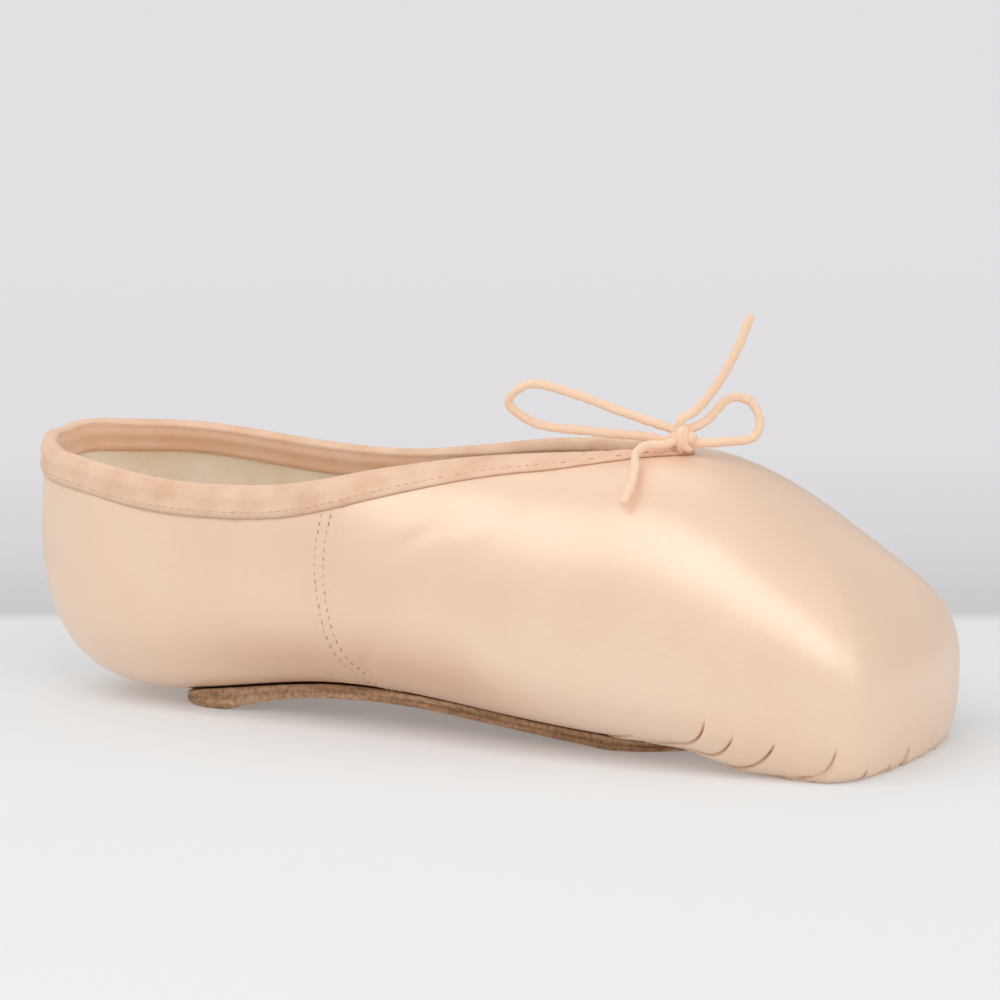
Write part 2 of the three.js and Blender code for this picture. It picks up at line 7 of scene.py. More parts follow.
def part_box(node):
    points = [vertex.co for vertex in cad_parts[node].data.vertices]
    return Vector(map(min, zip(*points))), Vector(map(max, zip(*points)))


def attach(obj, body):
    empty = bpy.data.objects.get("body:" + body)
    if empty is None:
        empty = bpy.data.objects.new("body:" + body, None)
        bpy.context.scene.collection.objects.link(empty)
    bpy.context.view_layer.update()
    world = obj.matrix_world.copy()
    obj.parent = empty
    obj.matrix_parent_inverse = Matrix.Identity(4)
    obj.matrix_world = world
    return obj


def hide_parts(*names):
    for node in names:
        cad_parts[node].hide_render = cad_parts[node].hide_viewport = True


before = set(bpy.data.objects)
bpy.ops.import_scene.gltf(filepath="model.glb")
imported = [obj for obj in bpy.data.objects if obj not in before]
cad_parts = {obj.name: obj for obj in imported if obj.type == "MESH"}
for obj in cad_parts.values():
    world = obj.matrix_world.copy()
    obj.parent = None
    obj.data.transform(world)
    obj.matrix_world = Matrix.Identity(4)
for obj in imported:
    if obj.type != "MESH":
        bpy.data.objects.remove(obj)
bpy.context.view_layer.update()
mm = 0.001

# what the whole shoe is made to, in millimetres from the back of the heel
shoeForm = {
    "length": 234, "ballBreadth": 75, "vampHeight": 66, "archHeight": 8, "collarHeight": 58, "heelDepth": 60,
    "heelPower": 3, "toeStart": 0.8, "platformAt": 0.992, "toePower": 7, "toeLean": 2, "toeCorner": 3,
    "platformRadius": 100, "floorGap": 0.15,
    "spineHeel": 0.25, "spineToe": 0.6, "spineHeight": 0.4, "lastingMargin": 5,
    "quarterWall": 1.4, "boxWall": 2.6,
}
shoeLength = shoeForm["length"]
ballHalf = shoeForm["ballBreadth"] / 2

# share of the length, breadth, height of the widest line, powers of side, dome and sole
sections = [
    (0.0, 0.76, 0.5, 2.3, 2.0, 2.8),
    (0.15, 0.775, 0.47, 2.3, 2.0, 2.8),
    (0.35, 0.79, 0.44, 2.4, 2.0, 2.8),
    (0.5, 0.88, 0.42, 2.5, 2.0, 2.8),
    (0.65, 0.975, 0.38, 2.5, 2.05, 2.8),
    (0.76, 1.0, 0.34, 2.5, 2.1, 2.8),
    (0.88, 0.92, 0.305, 2.7, 2.25, 3.0),
    (1.0, 0.77, 0.29, 2.8, 2.05, 3.0),
]
# share of the length, share of the vamp height
crownLine = [
    (0, 1.212), (0.28, 1.202), (0.38, 1.144), (0.46, 1.042), (0.53, 1.014), (0.6, 1.006), (0.655, 1.005),
    (0.695, 1.008), (0.722, 1.011), (0.752, 1.0), (0.785, 0.967), (0.825, 0.902), (0.875, 0.79),
    (0.925, 0.67), (0.96, 0.59), (1, 0.51),
]
# share of the length, share of the arch height
underLine = [
    (0, 0.037), (0.15, 0.163), (0.21, 0.375), (0.28, 0.688), (0.35, 0.95), (0.41, 1.0), (0.5, 0.85),
    (0.58, 0.613), (0.66, 0.412), (0.76, 0.25), (0.79, 0.188), (0.815, -0.025), (0.845, -0.35),
    (0.885, -0.55), (0.93, -0.85), (1, -1),
]
# share of the collar height, share of the heel depth
heelCurve = [
    (0, 0), (0.17, 0.033), (0.31, 0.036), (0.45, 0.021), (0.59, 0.003), (0.71, 0), (0.84, 0.004),
    (0.97, 0.015), (1.12, 0.037), (1.4, 0.1),
]
# share of the length, of the ball breadth, near and far heights as shares of the collar height
collarLine = [
    (0.004, 0, 1.07, 1.07), (0.03, 0.387, 1.06, 1.088), (0.09, 0.581, 1.034, 1.086), (0.18, 0.667, 0.979, 1.05),
    (0.28, 0.68, 0.968, 1.006), (0.38, 0.653, 1.005, 0.984), (0.46, 0.547, 1.082, 1.0), (0.53, 0.44, 1.146, 1.032),
    (0.6, 0.32, 1.175, 1.07), (0.66, 0.213, 1.156, 1.105), (0.7, 0.12, 1.134, 1.134), (0.718, 0, 1.14, 1.14),
]


def columnOf(rows, index, size):
    return np.array([row[index] for row in rows], float) * size


def curveThrough(xs, ys):  # natural cubic through the rows of a table
    xs, ys = np.asarray(xs, float), np.asarray(ys, float)
    n = len(xs)
    bend, carry = np.zeros(n), np.zeros(n)
    for i in range(1, n - 1):
        s = (xs[i] - xs[i - 1]) / (xs[i + 1] - xs[i - 1])
        p = s * bend[i - 1] + 2
        bend[i] = (s - 1) / p
        jump = (ys[i + 1] - ys[i]) / (xs[i + 1] - xs[i]) - (ys[i] - ys[i - 1]) / (xs[i] - xs[i - 1])
        carry[i] = (6 * jump / (xs[i + 1] - xs[i - 1]) - s * carry[i - 1]) / p
    bend[n - 1] = 0
    for i in range(n - 2, -1, -1):
        bend[i] = bend[i] * bend[i + 1] + carry[i]

    def value(x):
        u = np.clip(np.asarray(x, float), xs[0], xs[-1])
        i = np.clip(np.searchsorted(xs, u, side="left") - 1, 0, n - 2)
        h = xs[i + 1] - xs[i]
        a, b = (xs[i + 1] - u) / h, (u - xs[i]) / h
        return a * ys[i] + b * ys[i + 1] + ((a ** 3 - a) * bend[i] + (b ** 3 - b) * bend[i + 1]) * h * h / 6

    return value


def lineOf(rows, index, size):
    return curveThrough(columnOf(rows, 0, shoeLength), columnOf(rows, index, size))


halfBreadth = lineOf(sections, 1, ballHalf)
widestHeight = lineOf(sections, 2, shoeForm["vampHeight"])
sidePower = lineOf(sections, 3, 1)
domePower = lineOf(sections, 4, 1)
solePower = lineOf(sections, 5, 1)
crownHeight = lineOf(crownLine, 1, shoeForm["vampHeight"])
underHeight = lineOf(underLine, 1, shoeForm["archHeight"])
heelInset = curveThrough(columnOf(heelCurve, 0, shoeForm["collarHeight"]), columnOf(heelCurve, 1, shoeForm["heelDepth"]))


def fullness(p):  # below 1 inside the last, 1 on its surface
    x, y, z = p[..., 0], p[..., 1], p[..., 2]
    widest = widestHeight(x)
    above = z > widest
    rise = np.where(above, crownHeight(x) - widest, widest - underHeight(x))
    tall = (np.abs(z - widest) / rise) ** np.where(above, domePower(x), solePower(x))
    wide = (np.abs(y) / halfBreadth(x)) ** sidePower(x)
    depth = shoeForm["heelDepth"]
    back = (np.maximum(0, depth - x) / (depth - heelInset(z))) ** shoeForm["heelPower"]
    toeFrom = shoeForm["toeStart"] * shoeLength
    sweep = np.minimum(np.abs(y), ballHalf) ** 2 / (2 * shoeForm["platformRadius"])
    tip = shoeForm["platformAt"] * shoeLength - np.abs(z - widest) * math.tan(math.radians(shoeForm["toeLean"])) - sweep
    front = (np.maximum(0, x - toeFrom) / (tip - toeFrom)) ** shoeForm["toePower"]
    corner = shoeForm["toeCorner"]
    around = (wide ** corner + front ** corner) ** (1 / corner)
    body = around + tall + back * np.where(above, np.maximum(0, 1 - tall), 1)
    floor = 1 + shoeForm["floorGap"] - z
    blend = 0.06  # rounds the edge where the floor presses the toe flat
    return np.maximum(body, floor) + blend * np.log1p(np.exp(-np.abs(body - floor) / blend)) - blend * 0.02


def castOut(origin, direction, far=260.0):
    near, limit = np.zeros(origin.shape[:-1]), np.full(origin.shape[:-1], far)
    for _ in range(34):
        middle = (near + limit) / 2
        inside = fullness(origin + direction * middle[..., None]) < 1
        near, limit = np.where(inside, middle, near), np.where(inside, limit, middle)
    return near


def outwardNormal(p):
    step = 0.05
    slope = [fullness(p + d) - fullness(p - d) for d in np.eye(3) * step]
    n = np.stack(slope, -1)
    return n / np.linalg.norm(n, axis=-1, keepdims=True)


def runAlong(points, axis=0):  # length run at each point of a line
    steps = np.cumsum(np.linalg.norm(np.diff(points, axis=axis), axis=-1), axis=axis)
    return np.concatenate([np.zeros_like(np.take(steps, [0], axis=axis)), steps], axis=axis)


def smoothStep(x, low, high):
    t = np.clip((np.asarray(x, float) - low) / (high - low), 0, 1)
    return t * t * (3 - 2 * t)


# outline of the outsole and the insole in plan: share of the length, of the ball breadth
soleOutline = [(0.16, 0.39), (0.22, 0.395), (0.37, 0.38), (0.5, 0.41), (0.62, 0.46), (0.7, 0.47), (0.8, 0.42)]
soleEnds = (0.164, 0.05, 0.783, 0.1)
insoleOutline = [(0.05, 0.4), (0.2, 0.45), (0.38, 0.45), (0.55, 0.56), (0.7, 0.66), (0.82, 0.6), (0.93, 0.48)]
insoleEnds = (0.072, 0.08, 0.81, 0.12)


def halfOutline(rows, ends):
    table = lineOf(rows, 1, ballHalf)
    heel, heelRound, toe, toeRound = [e * shoeLength for e in ends]

    def half(x):
        behind = np.maximum(0, (heel + heelRound - x) / heelRound)
        ahead = np.maximum(0, (x - toe + toeRound) / toeRound)
        return table(x) * np.sqrt(np.maximum(0, 1 - behind ** 2 - ahead ** 2))

    return half


soleHalf = halfOutline(soleOutline, soleEnds)
insoleHalf = halfOutline(insoleOutline, insoleEnds)

# the last's own x, in millimetres, of the CAD model's origin: the outsole's heel end gives it
soleHeelEnd = soleEnds[0] * shoeLength + 0.35
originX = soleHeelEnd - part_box("outsole")[0].x / mm


def toFrame(points):
    return (np.asarray(points, float) - [originX, 0, 0]) * mm


print("camera")
cameraPlace = {
    "azimuth": 30.6, "elevation": 10.5, "roll": -2.0, "distance": 1200, "lens": 187.2, "target": (124.1, 0, 52.4),
}
filmWidth = 36


def cameraAxes():
    a, e, r = (math.radians(cameraPlace[k]) for k in ("azimuth", "elevation", "roll"))
    back = np.array([math.sin(a) * math.cos(e), -math.cos(a) * math.cos(e), math.sin(e)])
    right = np.array([math.cos(a), math.sin(a), 0])
    up = np.cross(back, right)
    return right * math.cos(r) + up * math.sin(r), up * math.cos(r) - right * math.sin(r), back


def linked(name, data):
    obj = bpy.data.objects.new(name, data)
    bpy.context.collection.objects.link(obj)
    return obj


def placeCamera():
    right, up, back = (Vector(axis) for axis in cameraAxes())
    data = bpy.data.cameras.new("camera")
    data.lens, data.sensor_width, data.clip_start = cameraPlace["lens"], filmWidth, 0.01
    camera = linked("camera", data)
    turn = Matrix((right, up, back)).transposed().to_4x4()
    eye = Vector(toFrame(cameraPlace["target"])) + back * cameraPlace["distance"] * mm
    camera.matrix_world = Matrix.Translation(eye) @ turn
    bpy.context.scene.camera = camera


placeCamera()


def srgb(hexColour):
    channels = [int(hexColour[i:i + 2], 16) / 255 for i in (0, 2, 4)]
    return tuple(c / 12.92 if c <= 0.04045 else ((c + 0.055) / 1.055) ** 2.4 for c in channels) + (1,)


def setInputs(tree, node, inputs):  # links where the value is another node's output
    for name, value in inputs.items():
        socket = node.inputs[name]
        if isinstance(value, bpy.types.NodeSocket):
            tree.links.new(value, socket)
        else:
            socket.default_value = value


def addNode(tree, kind, inputs=None, **settings):
    node = tree.nodes.new(kind)
    for name, value in settings.items():
        setattr(node, name, value)
    setInputs(tree, node, inputs or {})
    return node


def newMaterial(name):
    material = bpy.data.materials.new(name)
    material.use_nodes = True
    tree = material.node_tree
    return material, tree, tree.nodes["Principled BSDF"]


def addRamp(tree, factor, stops):
    ramp = addNode(tree, "ShaderNodeValToRGB", {"Fac": factor})
    while len(ramp.color_ramp.elements) < len(stops):
        ramp.color_ramp.elements.new(0.5)
    for element, (place, colour) in zip(ramp.color_ramp.elements, stops):
        element.position, element.color = place, srgb(colour)
    return ramp.outputs["Color"]


def mixColours(tree, factor, first, second, blend="MIX"):
    node = addNode(tree, "ShaderNodeMix", {0: factor, 6: first, 7: second}, data_type="RGBA", blend_type=blend)
    return node.outputs[2]


def ownPlace(tree):
    return addNode(tree, "ShaderNodeTexCoord").outputs["Object"]


def stretched(tree, vector, scale, turn=(0, 0, 0)):
    return addNode(tree, "ShaderNodeMapping", {"Vector": vector, "Rotation": turn, "Scale": scale}).outputs["Vector"]


def noise(tree, vector, scale, detail):
    return addNode(tree, "ShaderNodeTexNoise", {"Vector": vector, "Scale": scale, "Detail": detail}).outputs["Fac"]


def addBump(tree, shader, height, strength, distance):
    bump = addNode(tree, "ShaderNodeBump", {"Strength": strength, "Distance": distance, "Height": height})
    tree.links.new(bump.outputs["Normal"], shader.inputs["Normal"])


def meshPiece(name, points, faces, uv=None, materialOf=None, materials=()):
    mesh = bpy.data.meshes.new(name)
    mesh.from_pydata([tuple(p) for p in toFrame(points)], [], [tuple(int(i) for i in f) for f in faces])
    mesh.update()
    if uv is not None:
        layer = mesh.uv_layers.new(name="cloth")
        corners = np.zeros(len(mesh.loops), dtype=np.int32)
        mesh.loops.foreach_get("vertex_index", corners)
        layer.data.foreach_set("uv", np.asarray(uv, np.float32)[corners].ravel())
    for material in materials:
        mesh.materials.append(material)
    if materialOf is not None:
        mesh.polygons.foreach_set("material_index", np.asarray(materialOf, np.int32))
    mesh.polygons.foreach_set("use_smooth", np.full(len(mesh.polygons), True))
    return linked(name, mesh)


print("materials")


def duchesseSatin():
    # polyester satin, tightly woven with long floats across the vamp: a soft broad shine, over very
    # fine lines from the weft. Threads are 0.12 mm, drawn 0.3 mm. Painted shade darkens its creases and where it turns
    # under by the sole
    material, tree, shader = newMaterial("duchesse satin")
    place = ownPlace(tree)
    weft = noise(tree, stretched(tree, place, (340, 2000, 4200), (0, 0.15, 0)), 1.0, 2.0)
    cloud = noise(tree, place, 22.0, 2.0)
    base = addRamp(tree, cloud, [(0.3, "f4d0b1"), (0.7, "f8dabf")])
    thread = addRamp(tree, weft, [(0.35, "fdfaf7"), (0.65, "ffffff")])
    woven = mixColours(tree, 1.0, base, thread, "MULTIPLY")
    # painted shade: the mesh's crease attribute darkens the satin towards orange brown
    paintedShade = addNode(tree, "ShaderNodeAttribute", attribute_name="paintedShade")
    shade = addRamp(tree, paintedShade.outputs["Fac"], [(0.6, "cc8650"), (0.85, "5a3722")])
    colour = mixColours(tree, paintedShade.outputs["Fac"], woven, shade)
    rough = addNode(tree, "ShaderNodeMapRange", {"Value": cloud, "To Min": 0.33, "To Max": 0.4})
    setInputs(tree, shader, {
        "Base Color": colour, "Roughness": rough.outputs["Result"], "Metallic": 0.05, "IOR": 1.5,
        "Specular IOR Level": 0.85, "Anisotropic": 0.3, "Coat Weight": 0.8, "Coat Roughness": 0.33,
        "Sheen Weight": 0.06, "Sheen Roughness": 0.4, "Sheen Tint": srgb("ffe2c8")})
    addBump(tree, shader, weft, 0.03, 0.0001)
    return material


def liningCanvas():
    # unbleached cotton canvas, plain woven and pasted: dull, cream, with tan patches of paste
    material, tree, shader = newMaterial("cotton canvas lining")
    place = ownPlace(tree)
    colour = addRamp(tree, noise(tree, place, 42.0, 4.0), [(0.4, "fcf2e2"), (0.56, "f6e6cd"), (0.7, "ebcfa8")])
    weave = addNode(tree, "ShaderNodeTexVoronoi", {"Vector": place, "Scale": 1500.0})
    addBump(tree, shader, weave.outputs["Distance"], 0.35, 0.0002)
    setInputs(tree, shader, {"Base Color": colour, "Roughness": 0.9, "Sheen Weight": 0.2})
    return material


def twillTape(name="cotton twill tape", light="f1ceb2", dark="e6bd9d"):
    # cotton twill tape, woven with diagonal ribs 0.4 mm apart, drawn 0.55 mm: matt and slightly pink
    material, tree, shader = newMaterial(name)
    cloth = addNode(tree, "ShaderNodeUVMap", uv_map="cloth").outputs["UV"]
    ribs = addNode(tree, "ShaderNodeTexWave", {"Vector": stretched(tree, cloth, (1, 1, 1), (0, 0, 0.9)), "Scale": 570.0,
                                               "Distortion": 0.8, "Detail": 1.0, "Detail Scale": 400.0})
    tone = addRamp(tree, noise(tree, ownPlace(tree), 120.0, 4.0), [(0.3, dark), (0.6, light)])
    rib = addRamp(tree, ribs.outputs["Fac"], [(0.1, "f7f0ea"), (0.7, "ffffff")])
    addBump(tree, shader, ribs.outputs["Fac"], 0.16, 0.00012)
    setInputs(tree, shader, {"Base Color": mixColours(tree, 1.0, tone, rib, "MULTIPLY"), "Roughness": 0.82,
                             "Sheen Weight": 0.3, "Sheen Tint": srgb("ffeadc")})
    return material


def soleLeather():
    # vegetable tanned cowhide, rolled and waxed at the edge: tan, dull, with scuffed paler marks
    material, tree, shader = newMaterial("vegetable tanned sole leather")
    place = ownPlace(tree)
    grain = noise(tree, place, 900.0, 5.0)
    streak = noise(tree, stretched(tree, place, (60, 260, 500)), 1.0, 4.0)
    colour = addRamp(tree, streak, [(0.3, "a9835f"), (0.5, "cba27e"), (0.72, "e2c09c")])
    fleck = addRamp(tree, grain, [(0.35, "d6c8bd"), (0.6, "ffffff")])
    addBump(tree, shader, grain, 0.4, 0.0003)
    setInputs(tree, shader, {"Base Color": mixColours(tree, 1.0, colour, fleck, "MULTIPLY"), "Roughness": 0.62})
    return material


def suedeBoard():
    # split suede on board: pale, dry and nappy
    material, tree, shader = newMaterial("suede faced insole board")
    place = ownPlace(tree)
    colour = addRamp(tree, noise(tree, place, 50.0, 3.0), [(0.35, "d9c4a0"), (0.65, "eadcc2")])
    addBump(tree, shader, noise(tree, place, 1400.0, 3.0), 0.35, 0.0002)
    setInputs(tree, shader, {"Base Color": colour, "Roughness": 0.95})
    return material


def knittedString():
    # tubular knitted cotton string, pressed flat: soft, with small stitches 0.8 mm long in columns
    material, tree, shader = newMaterial("knitted cotton string")
    cloth = addNode(tree, "ShaderNodeUVMap", uv_map="cloth").outputs["UV"]
    loops = addNode(tree, "ShaderNodeTexWave", {"Vector": stretched(tree, cloth, (1, 1, 1), (0, 0, 0.9)), "Scale": 700.0,
                                                "Distortion": 3.0, "Detail": 2.0, "Detail Scale": 700.0})
    colour = addRamp(tree, loops.outputs["Fac"], [(0.1, "f6cfae"), (0.6, "fad9bd")])
    addBump(tree, shader, loops.outputs["Fac"], 0.06, 0.0001)
    setInputs(tree, shader, {"Base Color": colour, "Roughness": 0.8, "Sheen Weight": 0.15, "Subsurface Weight": 0.1,
                             "Subsurface Radius": (0.001, 0.0006, 0.0004)})
    return material


def sewingThread(name, colour):
    # spun polyester thread: fine and dull, mottled at random with a paler tone; its dark given tone is partly painted
    # shade of the needle holes
    material, tree, shader = newMaterial(name)
    tone = addRamp(tree, noise(tree, ownPlace(tree), 3000.0, 2.0), [(0.3, colour), (0.8, "f2d8c0")])
    setInputs(tree, shader, {"Base Color": tone, "Roughness": 0.75})
    return material


satin = duchesseSatin()
lining = liningCanvas()
tape = twillTape()
# the inner leaf is the same tape in paler colours: painted light that lifts the shade inside the collar
innerTapePaintedLight = twillTape("cotton twill tape, inner leaf painted lighter", "ffdcc2", "fbceaa")
leather = soleLeather()
board = suedeBoard()
stringCotton = knittedString()
# the seam and binding threads are given dark tones, partly painted shade of their stitch holes
seamThread = sewingThread("seam thread", "836650")
tapeThread = sewingThread("binding thread", "cb9672")

print("drawstring bow")
bow = {
    "reach": 40, "width": 2.05, "thickness": 1.35, "knotAt": 0.742, "knotAcross": -0.07, "knotHeight": 5,
    "overBinding": 1.55, "stringHalf": 1.1,
}
# from the knot's middle, in shares of the bow's reach: along, across, up
nearLoop = [
    (-0.09, -0.01, -0.02), (-0.22, -0.04, 0.0), (-0.5, -0.14, 0.03), (-0.8, -0.29, 0.09), (-0.9, -0.39, 0.22),
    (-0.78, -0.36, 0.32), (-0.57, -0.24, 0.26), (-0.36, -0.12, 0.16), (-0.09, -0.01, 0.055),
]
farLoop = [
    (0.085, 0.03, -0.03), (0.21, 0.12, -0.03), (0.32, 0.24, -0.02), (0.34, 0.29, 0.06), (0.28, 0.28, 0.18),
    (0.19, 0.22, 0.2), (0.09, 0.1, 0.08),
]
upEnd = [(0.0, -0.02, 0.1), (0.05, 0.04, 0.14), (0.15, 0.09, 0.26), (0.27, 0.13, 0.46), (0.365, 0.17, 0.69)]
downEnd = [
    (-0.07, -0.1, 0.01), (-0.15, -0.14, 0.01), (-0.17, -0.22, 0.0), (-0.11, -0.34, 0.0), (-0.065, -0.46, 0.0),
    (-0.06, -0.565, 0.0),
]


def overLast(x, y, off):
    start = np.array([x, y, float(widestHeight(x))])
    p = start + [0, 0, float(castOut(start, np.array([0.0, 0.0, 1.0]), 80.0))]
    return p + outwardNormal(p) * off


knotMiddle = overLast(bow["knotAt"] * shoeLength, bow["knotAcross"] * bow["reach"],
                      bow["overBinding"] + bow["knotHeight"] / 2)


def freeRoute(rows):
    return np.array([knotMiddle + np.array(row) * bow["reach"] for row in rows])


def lyingRoute(rows):
    reach = bow["reach"]
    return np.array([overLast(knotMiddle[0] + a * reach, knotMiddle[1] + c * reach,
                              bow["overBinding"] + bow["stringHalf"] + u * reach) for a, c, u in rows])


def roundedRoute(points, step=0.6):  # centripetal curve through a route's points, evenly spaced
    points = np.asarray(points, float)
    ends = np.vstack([2 * points[0] - points[1], points, 2 * points[-1] - points[-2]])
    out = []
    for i in range(1, len(ends) - 2):
        p0, p1, p2, p3 = ends[i - 1:i + 3]
        spans = [max(np.linalg.norm(q - p), 1e-6) ** 0.5 for p, q in ((p0, p1), (p1, p2), (p2, p3))]
        t0, t1, t2, t3 = np.cumsum([0.0] + spans)
        t = np.linspace(t1, t2, 24, endpoint=False)[:, None]

        def between(p, q, start, end):
            return (end - t) / (end - start) * p + (t - start) / (end - start) * q

        a1, a2, a3 = between(p0, p1, t0, t1), between(p1, p2, t1, t2), between(p2, p3, t2, t3)
        out.append(between(between(a1, a2, t0, t2), between(a2, a3, t1, t3), t1, t2))
    dense = np.vstack(out + [points[-1:]])
    lengths = runAlong(dense)
    count = max(8, int(lengths[-1] / step))
    along = np.linspace(0, lengths[-1], count)
    return np.stack([np.interp(along, lengths, dense[:, k]) for k in range(3)], -1)


def sweepString(name, line, width, thickness, flatTowards, ripple=0.05, closed=False):
    # flat oval tube along a line, its broad side facing flatTowards
    n, sides = len(line), 14
    tangents = np.gradient(line, axis=0)
    tangents /= np.linalg.norm(tangents, axis=1, keepdims=True)
    face = np.array(flatTowards, float)
    previous = face - tangents[0] * tangents[0].dot(face)
    skin = []
    lengths = runAlong(line)
    uv = []
    for i in range(n):
        previous = previous - tangents[i] * previous.dot(tangents[i])
        previous /= np.linalg.norm(previous)
        wanted = face - tangents[i] * tangents[i].dot(face)
        if np.linalg.norm(wanted) > 0.35:
            previous = previous * 0.85 + wanted / np.linalg.norm(wanted) * 0.15
            previous /= np.linalg.norm(previous)
        side = np.cross(tangents[i], previous)
        swell = 1 + ripple * math.sin(lengths[i] * 1.9) + ripple * 0.6 * math.sin(lengths[i] * 0.73 + 1)
        capScale = [0.62, 0.9][min(i, n - 1 - i)] if min(i, n - 1 - i) < 2 and not closed else 1.0
        for k in range(sides):
            a = 2 * math.pi * k / sides
            out = side * math.cos(a) * width / 2 * swell + previous * math.sin(a) * thickness / 2
            skin.append(line[i] + out * capScale)
            uv.append((lengths[i] * mm, a / (2 * math.pi) * 6 * mm))
    faces = []
    last = n if closed else n - 1
    for i in range(last):
        for k in range(sides):
            j, m = (i + 1) % n, (k + 1) % sides
            faces.append((i * sides + k, i * sides + m, j * sides + m, j * sides + k))
    if not closed:
        faces.append(tuple(range(sides - 1, -1, -1)))
        faces.append(tuple((n - 1) * sides + k for k in range(sides)))
    return meshPiece(name, np.array(skin), faces, uv=uv, materials=[stringCotton])


towardsCamera = (0.5, -0.85, 0.18)
cordRoutes = {
    "loop_near": (np.vstack([knotMiddle, freeRoute(nearLoop), knotMiddle + [0, 0, 1.2]]), "object"),
    "loop_far": (np.vstack([knotMiddle, freeRoute(farLoop), knotMiddle + [0.5, 0.5, 1.5]]), "object"),
    "end_up": (np.vstack([knotMiddle, freeRoute(upEnd)]), "bare"),
    "end_down": (np.vstack([knotMiddle, lyingRoute(downEnd)]), "bare"),
}


def tieKnot():
    # a band of the string goes round the crossed strands
    shapes = []
    for lean, place, size in ((0.25, (0.0, 0, 0), (1.9, 2.4)), (-0.35, (0.9, 0.2, -0.1), (1.6, 2.1))):
        turns = np.linspace(0, 2 * math.pi, 48, endpoint=False)
        ring = np.stack([np.sin(turns) * lean, np.cos(turns) * size[0], np.sin(turns) * size[1]], -1)
        ring = ring + np.array(place) + knotMiddle
        shapes.append(sweepString("knotTurn", ring, 2.3, 1.5, (0, 0.3, 1), closed=True))
    across = np.array([[-3.0, -0.3, 0.3], [-1.5, 0, 0.1], [0, 0, 0], [1.5, 0.2, 0], [3.0, 0.6, -0.2]]) + knotMiddle
    shapes.append(sweepString("knotCore", roundedRoute(across), 3.2, 2.6, (0, -1, 0.2)))
    return joinPieces("string_knot", shapes)


def joinPieces(name, objects):
    points, faces, uvValues = [], [], []
    for obj in objects:
        cloth = obj.data.uv_layers["cloth"].data
        for poly in obj.data.polygons:
            faces.append([i + len(points) for i in poly.vertices])
            uvValues += [cloth[loop].uv[:] for loop in poly.loop_indices]
        points += [v.co[:] for v in obj.data.vertices]
        bpy.data.objects.remove(obj)
    mesh = bpy.data.meshes.new(name)
    mesh.from_pydata(points, [], faces)
    mesh.update()
    mesh.uv_layers.new(name="cloth").data.foreach_set("uv", np.asarray(uvValues, np.float32).ravel())
    mesh.materials.append(stringCotton)
    mesh.polygons.foreach_set("use_smooth", [True] * len(faces))
    return linked(name, mesh)


knotPiece = tieKnot()
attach(knotPiece, "root")
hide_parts("knot")
for name, (route, farEnd) in cordRoutes.items():
    line = roundedRoute(route)
    piece = sweepString("string_" + name, line, bow["width"], bow["thickness"], towardsCamera)
    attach(piece, "root")
    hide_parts(name)

print("stations round the shoe")
spineHeel = shoeForm["spineHeel"] * shoeLength
spineToe = shoeForm["spineToe"] * shoeLength
spineHeight = shoeForm["spineHeight"] * shoeForm["vampHeight"]
rings = {"pleatFan": 120, "pleatsTo": 48, "restOfFan": 44, "side": 90, "heelFan": 52, "outerRows": 84, "innerRows": 16}
# turn from the shoe's middle line in degrees, height that the crease climbs to in mm, and how far in mm
# its foot runs back along the floor
pleatRows = [(3.5, 3.6, 0.0), (7.7, 1.8, 0.0), (13.5, 1.6, 0.0), (19.2, 8.6, 3.0), (24.9, 9.4, -0.5),
             (29.3, 10.6, -1.0), (33.0, 14.6, -1.6), (42, 8.0, -0.5)]
closeTurns = [0.0, 0.1, 0.2, 0.32, 0.46, 0.65]  # degrees from a crease to the stations beside it


def halfStations():
    # x on the spine, direction across and along, turn in degrees
    close = math.radians(rings["pleatsTo"])
    atPleats = [math.radians(row[0] + hand * turn) for row in pleatRows for turn in closeTurns for hand in (-1, 1)]
    even = [a for a in np.linspace(0, close, rings["pleatFan"], endpoint=False)
            if min(abs(a - b) for b in atPleats) > math.radians(0.15)]
    turns = sorted(set(even) | set(atPleats)) + list(np.linspace(close, math.pi / 2, rings["restOfFan"], endpoint=False))
    fan = [(spineToe, math.sin(a), math.cos(a)) for a in turns]
    side = [(x, 1.0, 0.0) for x in np.linspace(spineToe, spineHeel, rings["side"], endpoint=False)]
    heel = [(spineHeel, math.cos(a), -math.sin(a)) for a in np.linspace(0, math.pi / 2, rings["heelFan"])]
    return np.array(fan + side + heel)


half = halfStations()
nearStations = np.column_stack([half, np.full(len(half), -1.0)])
farStations = np.column_stack([half[1:-1], np.full(len(half) - 2, 1.0)])[::-1]
stations = np.vstack([nearStations, farStations])  # toe middle, near side, heel, far side
stationX, stationAcross, stationAlong, stationHand = stations.T
stationTurn = np.degrees(np.arctan2(stationAcross, stationAlong)) * stationHand
stationCount = len(stations)


def bisect(test, low, high, turns=40):
    low, high = np.full(stationCount, float(low)), np.full(stationCount, float(high))
    for _ in range(turns):
        middle = (low + high) / 2
        inside = test(middle)
        low, high = np.where(inside, middle, low), np.where(inside, high, middle)
    return low


